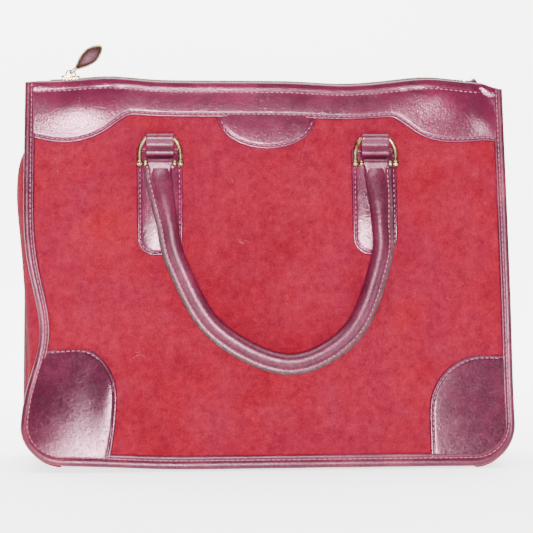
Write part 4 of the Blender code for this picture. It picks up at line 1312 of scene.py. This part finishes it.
def build_pull():
    """Leaf-shaped pull: a brass rim round a domed leather inlay on both faces."""
    eye, pull_eye, lean = pull_frame()
    side = Vector((0, 1, 0)).cross(lean).normalized()
    total = 24.4
    start = -2.0

    def place(a, b, y):
        return pull_eye + side * a * MM + lean * (start + b) * MM + Vector((0, y * MM, 0))

    def loop(inset, y, count=22):
        points = []
        shares = [0.5 - 0.5 * math.cos(t) for t in steps(0.0, math.pi, count)]
        inner_total = total - 2 * inset
        for share in shares[:-1]:
            w = max(leaf_half(share) - inset * 0.9, 0.02 if share else 0.0)
            points.append(place(w, inset + inner_total * share, y))
        for share in shares[:0:-1]:
            w = max(leaf_half(share) - inset * 0.9, 0.02 if share < 1 else 0.0)
            points.append(place(-w, inset + inner_total * share, y))
        return points

    layers = [(1.3, -0.55), (0.9, -1.0), (0.35, -1.05), (0.0, -0.6), (0.0, 0.6), (0.35, 1.05),
              (0.9, 1.0), (1.3, 0.55)]
    rings = [loop(inset, y) for inset, y in layers]
    verts, faces = ring_stack(rings)
    add_piece("pull_brass", verts, faces, DARK_BRASS, "pull", "brass", ["zip_pull"], 40)
    faces_list = []
    for face in (-1, 1):
        dome = [loop(1.25 + d, face * y) for d, y in ((0.0, 0.5), (0.05, 0.85), (0.5, 1.2),
                                                       (1.3, 1.5), (2.3, 1.68), (3.4, 1.75))]
        faces_list.append(ring_stack(dome))
    add_piece("pull_inlay", *join_meshes(faces_list), INLAY, "pull", "leather",
              ["zip_pull_inlay"], 60)


# ---------------------------------------------------------------- carried-over nodes

def finish_node(node, material):
    for material_slot in frame["nodes"][node].material_slots:
        material_slot.material = material


# ---------------------------------------------------------------- stage, lights, camera

def build_stage():
    n = Nodes("pale_floor")
    speck = n.noise(3, 2)
    colour = n.ramp(speck, [(0.3, grey(0.90)), (0.7, grey(0.93))])
    material = n.finish(Base_Color=colour, Roughness=0.9, Emission_Color=grey(1.0),
                        Emission_Strength=2.0)
    profile = [(-3.0, 0.0), (1.2, 0.0)]
    profile += [(1.2 + 0.8 * math.sin(t), 0.8 - 0.8 * math.cos(t)) for t in steps(0, math.pi / 2, 12)[1:]]
    profile += [(2.0, 3.5)]
    verts = [(x, y, z) for y, z in profile for x in (-4.0, 4.0)]
    faces = [(2 * i, 2 * i + 1, 2 * i + 3, 2 * i + 2) for i in range(len(profile) - 1)]
    mesh = bpy.data.meshes.new("floor")
    mesh.from_pydata(verts, [], faces)
    mesh.materials.append(material)
    mesh.shade_smooth()
    floor = bpy.data.objects.new("floor", mesh)
    bpy.context.collection.objects.link(floor)


# name, place, target and size in metres, power in watts
LIGHTS = (
    ("flash", (-0.13, -1.6, 0.19), (0, 0, 0.14), (0.18, 0.13), 88),
    ("overhead", (0.0, 0.15, 2.0), (0, 0.15, 0), (2.4, 2.0), 110),
    ("backdrop", (0.0, 0.4, 1.2), (0, 2.0, 0.4), (2.0, 0.6), 60),
)
WORLD_STRENGTH = 0.35
CAMERA_DISTANCE = 1.35
CAMERA_AZIMUTH = math.radians(-5)
CAMERA_ELEVATION = math.radians(2.5)
CAMERA_TARGET = Vector((-1 * MM, -25 * MM, 135 * MM))
VIEW_WIDTH = 359 * MM


def add_light(name, place, target, size, power):
    data = bpy.data.lights.new(name, "AREA")
    data.shape = "RECTANGLE"
    data.size, data.size_y = size
    data.energy = power
    light = bpy.data.objects.new(name, data)
    light.location = place
    light.rotation_euler = (Vector(target) - Vector(place)).to_track_quat("-Z", "Y").to_euler()
    bpy.context.collection.objects.link(light)


def build_lights():
    world = bpy.data.worlds.new("studio")
    world.use_nodes = True
    background = world.node_tree.nodes["Background"]
    background.inputs["Color"].default_value = grey(1.0)
    background.inputs["Strength"].default_value = WORLD_STRENGTH
    bpy.context.scene.world = world
    for light in LIGHTS:
        add_light(*light)


def build_camera():
    """Nearly level with the bag and a little to its left."""
    data = bpy.data.cameras.new("camera")
    data.sensor_width = 36
    data.lens = data.sensor_width * CAMERA_DISTANCE / VIEW_WIDTH
    camera = bpy.data.objects.new("camera", data)
    level = math.cos(CAMERA_ELEVATION)
    away = Vector((math.sin(CAMERA_AZIMUTH) * level, -math.cos(CAMERA_AZIMUTH) * level,
                   math.sin(CAMERA_ELEVATION)))
    camera.location = CAMERA_TARGET + away * CAMERA_DISTANCE
    camera.rotation_euler = (-away).to_track_quat("-Z", "Y").to_euler()
    bpy.context.collection.objects.link(camera)
    bpy.context.scene.camera = camera


# ---------------------------------------------------------------- put together

build_side("front_", 1)
build_side("back_", -1)
for gusset_label, gusset_side in (("left", -1), ("right", 1)):
    build_gusset(gusset_label, gusset_side)
build_base()
build_floor_sheet("floor_board", "base_board", BOARD, "board")
build_floor_sheet("floor_cloth", "base_lining", LINING, "lining")
build_zip("front_", -1)
build_zip("back_", 1)
build_zip_end()
build_slider()
build_link()
build_pull()
finish_node("inner_pocket", LINING)
build_stage()
build_lights()
build_camera()
